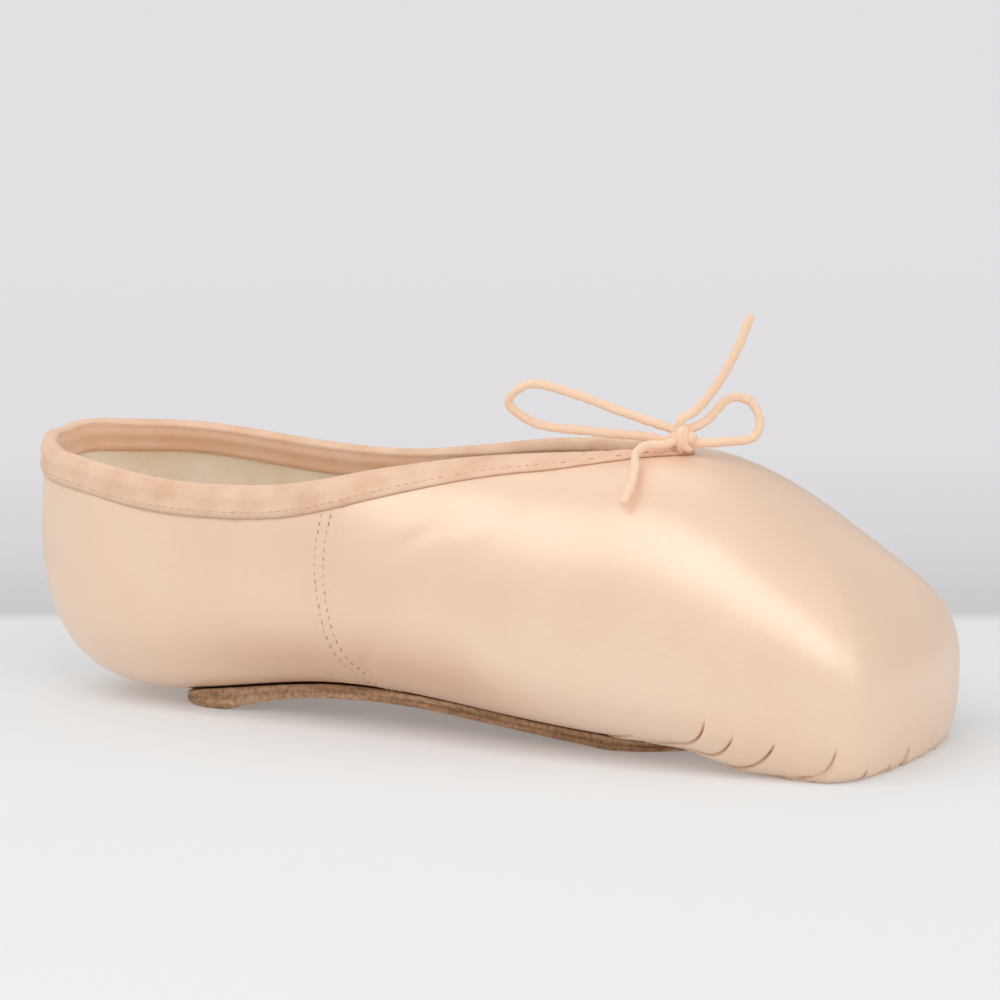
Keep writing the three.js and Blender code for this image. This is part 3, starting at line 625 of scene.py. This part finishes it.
guideSteps = np.arange(len(collarLine))
guideAlong = curveThrough(guideSteps, columnOf(collarLine, 0, shoeLength))
guideAcross = curveThrough(guideSteps, columnOf(collarLine, 1, ballHalf))
guideNear = curveThrough(guideSteps, columnOf(collarLine, 2, shoeForm["collarHeight"]))
guideFar = curveThrough(guideSteps, columnOf(collarLine, 3, shoeForm["collarHeight"]))
guideAt = bisect(lambda t: (guideAlong(t) - stationX) * stationAcross - guideAcross(t) * stationAlong < 0,
                 0, len(collarLine) - 1)
guideReach = np.hypot(guideAlong(guideAt) - stationX, guideAcross(guideAt))
guideHeight = np.where(stationHand < 0, guideNear(guideAt), guideFar(guideAt))
topAngle = np.arctan2(guideReach, guideHeight - spineHeight)
marginReach = bisect(lambda r: stationAcross * r < soleHalf(stationX + stationAlong * r) - shoeForm["lastingMargin"],
                     0, shoeLength)
lowAngle = math.pi - np.arctan2(marginReach, spineHeight - underHeight(stationX + stationAlong * marginReach))


def surfaceGrid(angles):  # angles: stations by rows
    out = np.sin(angles)
    direction = np.stack([stationAlong[:, None] * out, (stationHand * stationAcross)[:, None] * out, np.cos(angles)], -1)
    origin = np.zeros_like(direction)
    origin[..., 0] = stationX[:, None]
    origin[..., 2] = spineHeight
    return origin + direction * castOut(origin, direction)[..., None]


def evenRows(fromAngle, toAngle, count, crowd=1.0):
    dense = np.linspace(0, 1, 160)
    p = surfaceGrid(fromAngle[:, None] + (toAngle - fromAngle)[:, None] * dense)
    run = runAlong(p, axis=1)
    wanted = 1 - (1 - np.linspace(0, 1, count)) ** crowd
    angles = np.zeros((stationCount, count))
    for i in range(stationCount):
        share = np.interp(wanted * run[i, -1], run[i], dense)
        angles[i] = fromAngle[i] + (toAngle[i] - fromAngle[i]) * share
    return angles, run[:, -1]


outerAngles, girth = evenRows(topAngle, lowAngle, rings["outerRows"], 1.15)
outer = surfaceGrid(outerAngles)
outerNormals = outwardNormal(outer)


def wallAt(p):
    forward = smoothStep(p[..., 0], 0.6 * shoeLength, 0.8 * shoeLength)
    down = smoothStep(-p[..., 2], -1.01 * shoeForm["vampHeight"], -0.85 * shoeForm["vampHeight"])
    return shoeForm["quarterWall"] + (shoeForm["boxWall"] - shoeForm["quarterWall"]) * forward * down


print("upper")
# dark, darkShift and darkShare give the painted shade along each crease
pleats = {
    "depth": 0.6, "grooveWidth": 0.24, "step": 0.36, "lapReach": 2.2, "heelLap": 0.8, "puff": 0.14, "dark": 0.17,
    "darkShift": 0.1, "darkShare": 0.74, "fadeFrom": 0.7, "soleGap": 0.5, "footHeight": 1.7,
}
# where the satin turns under beside the sole it is in shade: x from and to, heights and strength
sideShade = {
    "strength": 0.56, "top": 32, "frontTop": 18, "fade": 18, "topFalls": (125, 165), "starts": (45, 92),
    "thins": (125, 160), "ends": (160, 195),
}
seam = {
    "rowAt": 1.25, "rowDepth": 0.22, "rowWidth": 0.35, "ridge": 0.42, "ridgeHalf": 3.2, "lapAt": 3.6,
    "lapDepth": 0.25, "lapWidth": 0.5, "stitchedFrom": 9.5, "stitchedTo": 51.5,
}
seamLine = [(0.0, 0.468), (0.2, 0.441), (0.35, 0.4175), (0.5, 0.405), (0.7, 0.397), (0.9, 0.401)]
seamPlace = curveThrough(columnOf(seamLine, 0, shoeForm["collarHeight"]), columnOf(seamLine, 1, shoeLength))
# soft folds on the near and far side: x and height of the middle, half length, half width,
# lean from upright in degrees, depth, and side: -1 near, 1 far, 0 both
folds = [
    (70, 45, 7, 1.4, -20, -0.35, -1), (86, 36, 16, 2.6, 8, 0.35, 0), (97.5, 34, 16, 3.0, 12, 0.45, 0),
    (103, 17, 8, 2.2, 40, -0.5, 0), (108, 26, 14, 3.5, 25, -0.35, 0), (28, 40, 14, 5, 5, 0.5, -1),
    (45, 30, 16, 6, -8, -0.4, 0), (60, 22, 12, 5, 20, 0.35, 0), (33, 18, 10, 4, 35, -0.35, 0),
    (128, 40, 20, 7, 30, -0.35, 0), (150, 30, 20, 7, 35, 0.3, 0), (20, 26, 10, 4, -30, 0.3, 1),
    (75, 30, 14, 4, 15, -0.3, 1), (118, 48, 9, 2.2, 60, -0.25, 0), (140, 52, 9, 2.2, 70, 0.25, 0),
]


def pleatShape(p, turn):
    # crisp creases with the cloth puffed between them and the toe side lapped over the heel side
    z = p[..., 2]
    reach = np.hypot(p[..., 0] - spineToe, p[..., 1])
    shape, paintedShade = np.zeros(z.shape), np.zeros(z.shape)
    rows = sorted([(-t, h, b) for t, h, b in pleatRows] + list(pleatRows))
    turns = np.array([r[0] for r in rows])
    for t, top, foot in rows:
        off = np.radians(np.abs(turn) - abs(t)) * reach * np.where(np.sign(turn) == np.sign(t), 1, 10)
        off = off - foot * np.exp(-z / pleats["footHeight"])
        fade = 1 - smoothStep(z, top * pleats["fadeFrom"], top)
        shape -= pleats["depth"] * np.exp(-(off / pleats["grooveWidth"]) ** 2) * fade
        lap = np.where(off < 0, 1, -pleats["heelLap"]) * np.exp(-np.abs(off) / pleats["lapReach"])
        shape += pleats["step"] * lap * fade
        # painted shade along each crease
        paintedShade = np.maximum(paintedShade, np.exp(-((off - pleats["darkShift"]) / pleats["dark"]) ** 2) * fade)
    gaps = np.interp(turn, turns, np.arange(len(turns)))
    puff = np.abs(np.sin(gaps * math.pi)) * (np.abs(turn) < turns[-1])
    shape += pleats["puff"] * puff * smoothStep(z, 0.5, 3) * (1 - smoothStep(z, 3, 10))
    return shape, paintedShade


def soleShade(p):  # the dark line where the outsole is turned under the upper
    half = soleHalf(p[..., 0])
    return (1 - smoothStep(np.abs(p[..., 1]) - half, pleats["soleGap"] - 0.6, pleats["soleGap"])) * (half > 1)


def foldShape(p, normals):
    shape = np.zeros(p.shape[:-1])
    for x, z, length, width, lean, depth, side in folds:
        a = math.radians(lean)
        dx, dz = p[..., 0] - x, p[..., 2] - z
        along = dz * math.cos(a) + dx * math.sin(a)
        across = dx * math.cos(a) - dz * math.sin(a)
        onSide = 1.0 if side == 0 else smoothStep(p[..., 1] * side, 2, 8)
        shape += depth * np.exp(-(along / length) ** 2 - (across / width) ** 2) * onSide
    sideways = smoothStep(np.abs(normals[..., 1]), 0.2, 0.6)
    return shape * sideways


def seamShape(p):
    s = seam
    off = p[..., 0] - seamPlace(p[..., 2])
    low = smoothStep(p[..., 2], 8, 15)
    rows = -s["rowDepth"] * sum(np.exp(-((off - at) / s["rowWidth"]) ** 2) for at in (s["rowAt"], -s["rowAt"]))
    ridge = s["ridge"] * np.exp(-(off / s["ridgeHalf"]) ** 4)
    lap = -s["lapDepth"] * np.exp(-((off - s["lapAt"]) / s["lapWidth"]) ** 2)
    return (rows + ridge + lap) * low


def ringFaces(rows, flip=False, start=0, closed=False):
    i = np.arange(stationCount)[:, None]
    k = np.arange(rows if closed else rows - 1)[None, :]
    here, there, below = start + i * rows, start + (i + 1) % stationCount * rows, (k + 1) % rows
    quads = np.stack([here + k, there + k, there + below, here + below], -1)
    return quads[..., [0, 3, 2, 1] if flip else [0, 1, 2, 3]].reshape(-1, 4)


def clothShape(p, normals):
    turn = np.broadcast_to(stationTurn[:, None], p.shape[:-1])
    shape, paintedShade = pleatShape(p, turn)
    x, z = p[..., 0], p[..., 2]
    s = sideShade
    shadeTop = s["top"] - (s["top"] - s["frontTop"]) * smoothStep(x, *s["topFalls"])
    besideSole = smoothStep(x, *s["starts"]) * (1 - 0.5 * smoothStep(x, *s["thins"])) * (1 - smoothStep(x, *s["ends"]))
    turnedUnder = s["strength"] * (1 - smoothStep(z, shadeTop - s["fade"], shadeTop)) * besideSole
    # painted shade: the creases, the satin turned under beside the sole, and the line along the outsole
    paintedShade = np.maximum(np.maximum(paintedShade * pleats["darkShare"], turnedUnder), soleShade(p) * (z < 20))
    return shape + foldShape(p, normals) + seamShape(p), paintedShade


def makeUpper():
    rows, innerRows = rings["outerRows"], rings["innerRows"]
    shape, paintedShade = clothShape(outer, outerNormals)
    face = outer + outerNormals * shape[..., None]
    face[..., 2] = np.maximum(face[..., 2], 0.05)
    innerAngles, _ = evenRows(topAngle, lowAngle, innerRows)
    inside = surfaceGrid(innerAngles)
    inside = inside - outwardNormal(inside) * wallAt(inside)[..., None]
    along = runAlong(outer[:, rows // 2])
    runOuter = np.linspace(0, 1, rows)
    runInner = np.linspace(0, 1, innerRows)
    uvOuter = np.stack(np.broadcast_arrays(along[:, None], girth[:, None] * runOuter), -1) * mm
    uvInner = np.stack(np.broadcast_arrays(along[:, None], girth[:, None] * runInner), -1) * mm
    points = np.vstack([face.reshape(-1, 3), inside.reshape(-1, 3)])
    uv = np.vstack([uvOuter.reshape(-1, 2), uvInner.reshape(-1, 2)])
    start = stationCount * rows
    outerFaces = ringFaces(rows)
    innerFaces = ringFaces(innerRows, flip=True, start=start)
    i = np.arange(stationCount)
    j = (i + 1) % stationCount
    top = np.stack([i * rows, start + i * innerRows, start + j * innerRows, j * rows], -1)
    low = np.stack([i * rows + rows - 1, j * rows + rows - 1, start + j * innerRows + innerRows - 1,
                    start + i * innerRows + innerRows - 1], -1)
    faces = np.vstack([outerFaces, innerFaces, top, low])
    kinds = np.concatenate([np.zeros(len(outerFaces)), np.ones(len(innerFaces)), np.zeros(len(top)), np.ones(len(low))])
    piece = meshPiece("satin_upper", points, faces, uv=uv, materialOf=kinds, materials=[satin, lining])
    # the painted shade goes with the satin as a point attribute; the lining gets none
    shade = piece.data.attributes.new("paintedShade", "FLOAT", "POINT")
    shade.data.foreach_set("value", np.concatenate([paintedShade.ravel(), np.zeros(inside.size // 3)]).astype(np.float32))
    return piece


upperPiece = makeUpper()
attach(upperPiece, "root")
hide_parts("upper")

print("binding")
binding = {
    "width": 7.0, "rows": 16, "gap": 0.12, "thickness": 0.85, "tunnel": 0.45, "tunnelAt": 2.2, "tunnelHalf": 1.5,
    "edgeThins": 0.62, "edgeRound": 1.1, "foldHeight": 0.95, "pucker": 0.22, "puckerAt": 3.4, "puckerHalf": 3.0,
    "puckerTurn": 75,
}


def surfaceDown(distances):  # rows of surface points at these distances below the collar
    dense = np.linspace(0, 1, 90)
    toAngle = topAngle + 0.75
    p = surfaceGrid(topAngle[:, None] + (toAngle - topAngle)[:, None] * dense)
    run = runAlong(p, axis=1)
    angles = np.zeros((stationCount, len(distances)))
    for i in range(stationCount):
        angles[i] = topAngle[i] + (toAngle[i] - topAngle[i]) * np.interp(distances, run[i], dense)
    return surfaceGrid(angles)


bindingDepths = np.linspace(0, binding["width"], binding["rows"])
bindingSurface = surfaceDown(bindingDepths)
bindingNormals = outwardNormal(bindingSurface)
bindingAlong = runAlong(bindingSurface[:, 3])


def bindingOffset(depths, scale=1.0):
    b = binding
    d = np.asarray(depths, float)
    swell = b["thickness"] + b["tunnel"] * np.exp(-((d - b["tunnelAt"]) / b["tunnelHalf"]) ** 2)
    edge = 1 - b["edgeThins"] * smoothStep(d, b["width"] - b["edgeRound"], b["width"])
    return b["gap"] + swell * edge * scale


def makeBinding():
    b = binding
    rows = b["rows"]
    base = bindingSurface + bindingNormals * seamShape(bindingSurface)[..., None]
    walls = wallAt(bindingSurface)
    upward = bindingSurface[:, 0] - bindingSurface[:, 1]
    upward /= np.linalg.norm(upward, axis=1, keepdims=True)
    front = np.exp(-(stationTurn / b["puckerTurn"]) ** 4)
    pucker = np.sin(bindingAlong * 1.15) * 0.6 + np.sin(bindingAlong * 2.3 + 1.3) * 0.4
    pucker = pucker * b["pucker"] * (0.35 + front)
    fade = np.exp(-((bindingDepths - b["puckerAt"]) / b["puckerHalf"]) ** 2)
    outerFace = base + bindingNormals * (bindingOffset(bindingDepths)[None, :] + pucker[:, None] * fade)[..., None]
    inside = bindingSurface - bindingNormals * (walls + bindingOffset(bindingDepths, 0.8)[None, :])[..., None]
    behindOuter = base + bindingNormals * b["gap"]
    behindInner = bindingSurface - bindingNormals * (walls + b["gap"])[..., None]
    topOut = bindingOffset(0.0)
    fold = []
    centre = bindingSurface[:, 0] - bindingNormals[:, 0] * (walls[:, 0] / 2)[:, None]
    halfSpan = walls[:, 0] / 2 + topOut
    for a in np.linspace(0, math.pi, 9)[1:-1]:
        reach = np.cos(a) * halfSpan
        lift = np.sin(a) * b["foldHeight"]
        fold.append(centre + bindingNormals[:, 0] * reach[:, None] + upward * lift)
    profile = [outerFace[:, i] for i in range(rows)]
    profile += [behindOuter[:, i] for i in range(rows - 1, -1, -3)]
    profile += [behindInner[:, i] for i in range(0, rows, 3)]
    profile += [inside[:, i] for i in range(rows - 1, -1, -1)]
    profile += fold[::-1]
    ring = np.stack(profile, 1)
    count = ring.shape[1]
    faces = ringFaces(count, closed=True)
    down = runAlong(ring[5])
    uv = np.stack(np.broadcast_arrays(bindingAlong[:, None], down[None, :]), -1) * mm
    hidden = len(behindOuter[0, ::3])
    leaf = np.arange(count) - rows - 2 * hidden
    # the inner leaf takes the paler tape, painted light
    kinds = np.broadcast_to((leaf >= 0) & (leaf < rows), (stationCount, count)).astype(int).ravel()
    return meshPiece("tape_binding", ring.reshape(-1, 3), faces, uv=uv.reshape(-1, 2), materialOf=kinds,
                     materials=[tape, innerTapePaintedLight])


bindingPiece = makeBinding()
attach(bindingPiece, "root")
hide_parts("binding")

print("outsole and insole")
soleUnderLine = [
    (0.16, 0.1), (0.18, -0.038), (0.225, -0.038), (0.25, 0.138), (0.28, 0.35), (0.31, 0.512), (0.36, 0.625),
    (0.45, 0.625), (0.53, 0.438), (0.58, 0.3), (0.63, 0.163), (0.67, 0.05), (0.7, -0.037), (0.8, -0.037),
]
soleUnder = lineOf(soleUnderLine, 1, shoeForm["archHeight"])
# drop from the top as a share of the thickness, inset in mm
soleEdge = [(0, 0.35), (0.04, 0.1), (0.12, 0), (0.34, 0.0), (0.4, 0.25), (0.45, 0.5), (0.5, 0.3), (0.56, 0.05), (0.68, 0),
            (0.84, 0.15), (0.94, 0.45), (1, 0.9)]
insoleEdge = [(0, 0.5), (0.12, 0.15), (0.3, 0), (0.9, 0), (1, 0.3)]


def underside(x, y):
    start = np.stack([x, y, widestHeight(x)], -1)
    down = np.zeros_like(start)
    down[..., 2] = -1
    return start[..., 2] - castOut(start, down, 80.0)


def makeSlab(name, halfAt, ends, widest, topAt, bottomAt, edge, material, rows=120, columns=25):
    heel, toe = ends[0] * shoeLength, ends[2] * shoeLength
    middle, reach = (heel + toe) / 2, (toe - heel) / 2 - 0.35
    along = -np.cos(np.linspace(0, math.pi, rows))
    x = middle + reach * along
    shares = np.sin(np.linspace(-math.pi / 2, math.pi / 2, columns))
    xs = np.repeat(x[:, None], columns, 1)
    ys = halfAt(x)[:, None] * shares[None, :]
    top, bottom = topAt(xs, ys), bottomAt(xs, ys)

    def sheet(drop, inset):
        z = top + (bottom - top) * drop
        return np.stack([middle + (xs - middle) * (1 - inset / reach), ys * (1 - inset / (widest * ballHalf)), z], -1)

    border = [(i, 0) for i in range(rows)] + [(rows - 1, j) for j in range(1, columns)]
    border += [(i, columns - 1) for i in range(rows - 2, -1, -1)] + [(0, j) for j in range(columns - 2, 0, -1)]
    ids = np.arange(rows * columns).reshape(rows, columns)
    borderIds = np.array([ids[i, j] for i, j in border])
    points = [sheet(*edge[0]).reshape(-1, 3), sheet(*edge[-1]).reshape(-1, 3)]
    total = 2 * rows * columns
    faces = []
    for i in range(rows - 1):
        for j in range(columns - 1):
            a, b, c, d = ids[i, j], ids[i + 1, j], ids[i + 1, j + 1], ids[i, j + 1]
            faces.append((a, b, c, d))
            off = rows * columns
            faces.append((a + off, d + off, c + off, b + off))
    upperRing = borderIds
    for k in range(1, len(edge)):
        if k == len(edge) - 1:
            lowerRing = borderIds + rows * columns
        else:
            grid = sheet(*edge[k])
            points.append(np.array([grid[i, j] for i, j in border]))
            lowerRing = total + np.arange(len(border))
            total += len(border)
        for n in range(len(border)):
            m = (n + 1) % len(border)
            faces.append((upperRing[n], lowerRing[n], lowerRing[m], upperRing[m]))
        upperRing = lowerRing
    return meshPiece(name, np.vstack(points), faces, materials=[material])


outsolePiece = makeSlab("leather_outsole", soleHalf, soleEnds, 0.47, lambda x, y: underside(x, y) - 0.6,
                        lambda x, y: np.maximum(0.0, soleUnder(x)), soleEdge, leather)
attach(outsolePiece, "root")
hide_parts("outsole")


def innerFloor(x, y):
    z = underside(x, y)
    p = np.stack([x, y, z], -1)
    return z + wallAt(p) / np.maximum(0.5, -outwardNormal(p)[..., 2])


insolePiece = makeSlab("insole_board", insoleHalf, insoleEnds, 0.66, lambda x, y: innerFloor(x, y) + 2.45,
                       lambda x, y: innerFloor(x, y) + 0.65, insoleEdge, board, rows=80)
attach(insolePiece, "root")
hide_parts("insole")

print("stitches")


def stitchTree():
    tree = bpy.data.node_groups.new("rowOfStitches", "GeometryNodeTree")
    faceIn = tree.interface
    faceIn.new_socket("Geometry", in_out="INPUT", socket_type="NodeSocketGeometry")
    for name, value in (("Pitch", 0.0025), ("Stitch Length", 0.0018), ("Thread Radius", 0.0002), ("Sink", 0.0)):
        faceIn.new_socket(name, in_out="INPUT", socket_type="NodeSocketFloat").default_value = value
    faceIn.new_socket("Thread", in_out="INPUT", socket_type="NodeSocketMaterial")
    faceIn.new_socket("Geometry", in_out="OUTPUT", socket_type="NodeSocketGeometry")
    given = addNode(tree, "NodeGroupInput")
    line = addNode(tree, "GeometryNodeMeshToCurve", {"Mesh": given.outputs["Geometry"]})
    pitch = {"Curve": line.outputs["Curve"], "Length": given.outputs["Pitch"]}
    spaced = addNode(tree, "GeometryNodeResampleCurve", pitch, mode="LENGTH")
    bead = addNode(tree, "GeometryNodeMeshUVSphere", {"Segments": 8, "Rings": 5, "Radius": 1.0})
    halfLength = addNode(tree, "ShaderNodeMath", {0: given.outputs["Stitch Length"], 1: 0.5}, operation="MULTIPLY")
    radius = given.outputs["Thread Radius"]
    size = addNode(tree, "ShaderNodeCombineXYZ", {"X": radius, "Y": radius, "Z": halfLength.outputs["Value"]})
    tangent = addNode(tree, "GeometryNodeInputTangent")
    turn = addNode(tree, "FunctionNodeAlignRotationToVector", {"Vector": tangent.outputs["Tangent"]}, axis="Z")
    jitter = addNode(tree, "FunctionNodeRandomValue", {"Min": 0.88, "Max": 1.08, "Seed": 11}, data_type="FLOAT")
    uneven = {0: size.outputs["Vector"], "Scale": jitter.outputs[1]}
    scale = addNode(tree, "ShaderNodeVectorMath", uneven, operation="SCALE")
    placed = addNode(tree, "GeometryNodeInstanceOnPoints", {
        "Points": spaced.outputs["Curve"], "Instance": bead.outputs["Mesh"], "Rotation": turn.outputs["Rotation"],
        "Scale": scale.outputs["Vector"]})
    real = addNode(tree, "GeometryNodeRealizeInstances", {"Geometry": placed.outputs["Instances"]})
    shaded = addNode(tree, "GeometryNodeSetMaterial", {"Geometry": real.outputs["Geometry"],
                                                       "Material": given.outputs["Thread"]})
    addNode(tree, "NodeGroupOutput", {"Geometry": shaded.outputs["Geometry"]})
    return tree


stitches = stitchTree()


def sewLine(name, lines, pitch, length, radius, thread):
    points = np.vstack(lines)
    edges, start = [], 0
    for line in lines:
        edges += [(start + i, start + i + 1) for i in range(len(line) - 1)]
        start += len(line)
    mesh = bpy.data.meshes.new(name)
    mesh.from_pydata([tuple(p) for p in toFrame(points)], edges, [])
    obj = linked(name, mesh)
    modifier = obj.modifiers.new("stitches", "NODES")
    modifier.node_group = stitches
    values = {"Pitch": pitch * mm, "Stitch Length": length * mm, "Thread Radius": radius * mm, "Thread": thread}
    for item in stitches.interface.items_tree:
        if item.item_type == "SOCKET" and item.in_out == "INPUT" and item.name in values:
            modifier[item.identifier] = values[item.name]
    evaluated = obj.evaluated_get(bpy.context.evaluated_depsgraph_get())
    plain = bpy.data.meshes.new_from_object(evaluated)
    obj.modifiers.clear()
    obj.data = plain
    plain.polygons.foreach_set("use_smooth", [True] * len(plain.polygons))
    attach(obj, "root")
    return obj


def bindingStitchLine(depth, lift):
    p = surfaceDown(np.array([depth, depth + 0.01]))[:, 0]
    n = outwardNormal(p)
    line = p + n * (seamShape(p) + bindingOffset(depth) + lift)[:, None]
    return np.vstack([line, line[:1]])


bindingStitches = sewLine("binding_stitches", [bindingStitchLine(5.6, -0.02)], 2.1, 1.5, 0.17, tapeThread)


def seamStitchLine(hand, shift):
    heights = np.linspace(seam["stitchedFrom"], seam["stitchedTo"], 60)
    x = seamPlace(heights) + shift
    start = np.stack([x, np.zeros_like(x), heights], -1)
    sideways = np.zeros_like(start)
    sideways[:, 1] = hand
    p = start + sideways * castOut(start, sideways, 60.0)[:, None]
    n = outwardNormal(p)
    return p + n * (seamShape(p) + foldShape(p, n) + 0.06)[:, None]


seamRows = [seamStitchLine(hand, shift) for hand in (-1, 1) for shift in (-seam["rowAt"], seam["rowAt"])]
seamStitches = sewLine("seam_stitches", seamRows, 1.9, 1.25, 0.19, seamThread)

print("floor and light")


def pictureToFloor(u, v):  # where a ray of the 1000 by 1000 picture meets the floor
    right, up, back = cameraAxes()
    focal = cameraPlace["lens"] / filmWidth * 1000
    direction = -back + right * (u - 500) / focal - up * (v - 500) / focal
    eye = np.array(cameraPlace["target"]) + back * cameraPlace["distance"]
    return eye - direction * eye[2] / direction[2]


def paperFloor():
    # a seamless white paper sweep, drawn on the flat floor: white under the shoe, where a grey glow is painted light
    # that lifts its shadows; beyond a line it is near black and glows pale grey for the backdrop, darker near the line
    material, tree, shader = newMaterial("white paper sweep with painted glow")
    left, right = toFrame(pictureToFloor(0, 615)), toFrame(pictureToFloor(1000, 615))
    run = (right - left)[:2]
    run /= np.linalg.norm(run)
    away = np.array([-run[1], run[0]])
    place = ownPlace(tree)
    depth = addNode(tree, "ShaderNodeVectorMath", {0: place, 1: (away[0], away[1], 0)}, operation="DOT_PRODUCT")
    start = float(left[:2] @ away)
    share = addNode(tree, "ShaderNodeMapRange", {"Value": depth.outputs["Value"], "From Min": start - 0.2,
                                                 "From Max": start + 0.8})
    near = addRamp(tree, share.outputs["Result"], [(0.0, "cfd0d0"), (0.192, "cacbcb"), (0.204, "202020")])
    # painted light: this glow lifts the near floor's shadows and lights the backdrop beyond the line
    paintedGlow = addRamp(tree, share.outputs["Result"], [(0.192, "7e7e7e"), (0.204, "c6c5c6"), (0.3, "d4d2d4"),
                                                     (0.45, "dddbdd"), (0.9, "dfdddf")])
    setInputs(tree, shader, {"Base Color": near, "Emission Color": paintedGlow, "Emission Strength": 1.0,
                             "Roughness": 0.9, "Specular IOR Level": 0.1})
    return material


def makeFloor():
    mesh = bpy.data.meshes.new("floor")
    size = 6.0
    mesh.from_pydata([(-size, -size, 0), (size, -size, 0), (size, size, 0), (-size, size, 0)], [], [(0, 1, 2, 3)])
    mesh.materials.append(paperFloor())
    floor = linked("floor", mesh)


makeFloor()

lamps = [  # name, place, target, size, power
    ("long softbox", (-0.02, -0.66, 1.0), (0.02, 0, 0.03), (2.6, 0.85), 12.0),
    ("top softbox", (-0.4, 0.5, 1.0), (-0.05, 0, 0.03), (1.0, 0.8), 1.4),
    ("toe side fill", (1.3, 0.0, 0.6), (0.05, 0, 0.03), (0.9, 0.9), 3.0),
]
for name, place, target, size, power in lamps:
    data = bpy.data.lights.new(name, "AREA")
    data.shape, data.size, data.size_y, data.energy = "RECTANGLE", size[0], size[1], power
    lamp = linked(name, data)
    lamp.location = place
    lamp.rotation_euler = (Vector(target) - Vector(place)).to_track_quat("-Z", "Y").to_euler()

world = bpy.data.worlds.new("studio")
world.use_nodes = True
setInputs(world.node_tree, world.node_tree.nodes["Background"], {"Color": srgb("f3f3f5"), "Strength": 0.5})
bpy.context.scene.world = world

bpy.context.scene.view_settings.view_transform = "Standard"  # white paper and pale satin stay clean
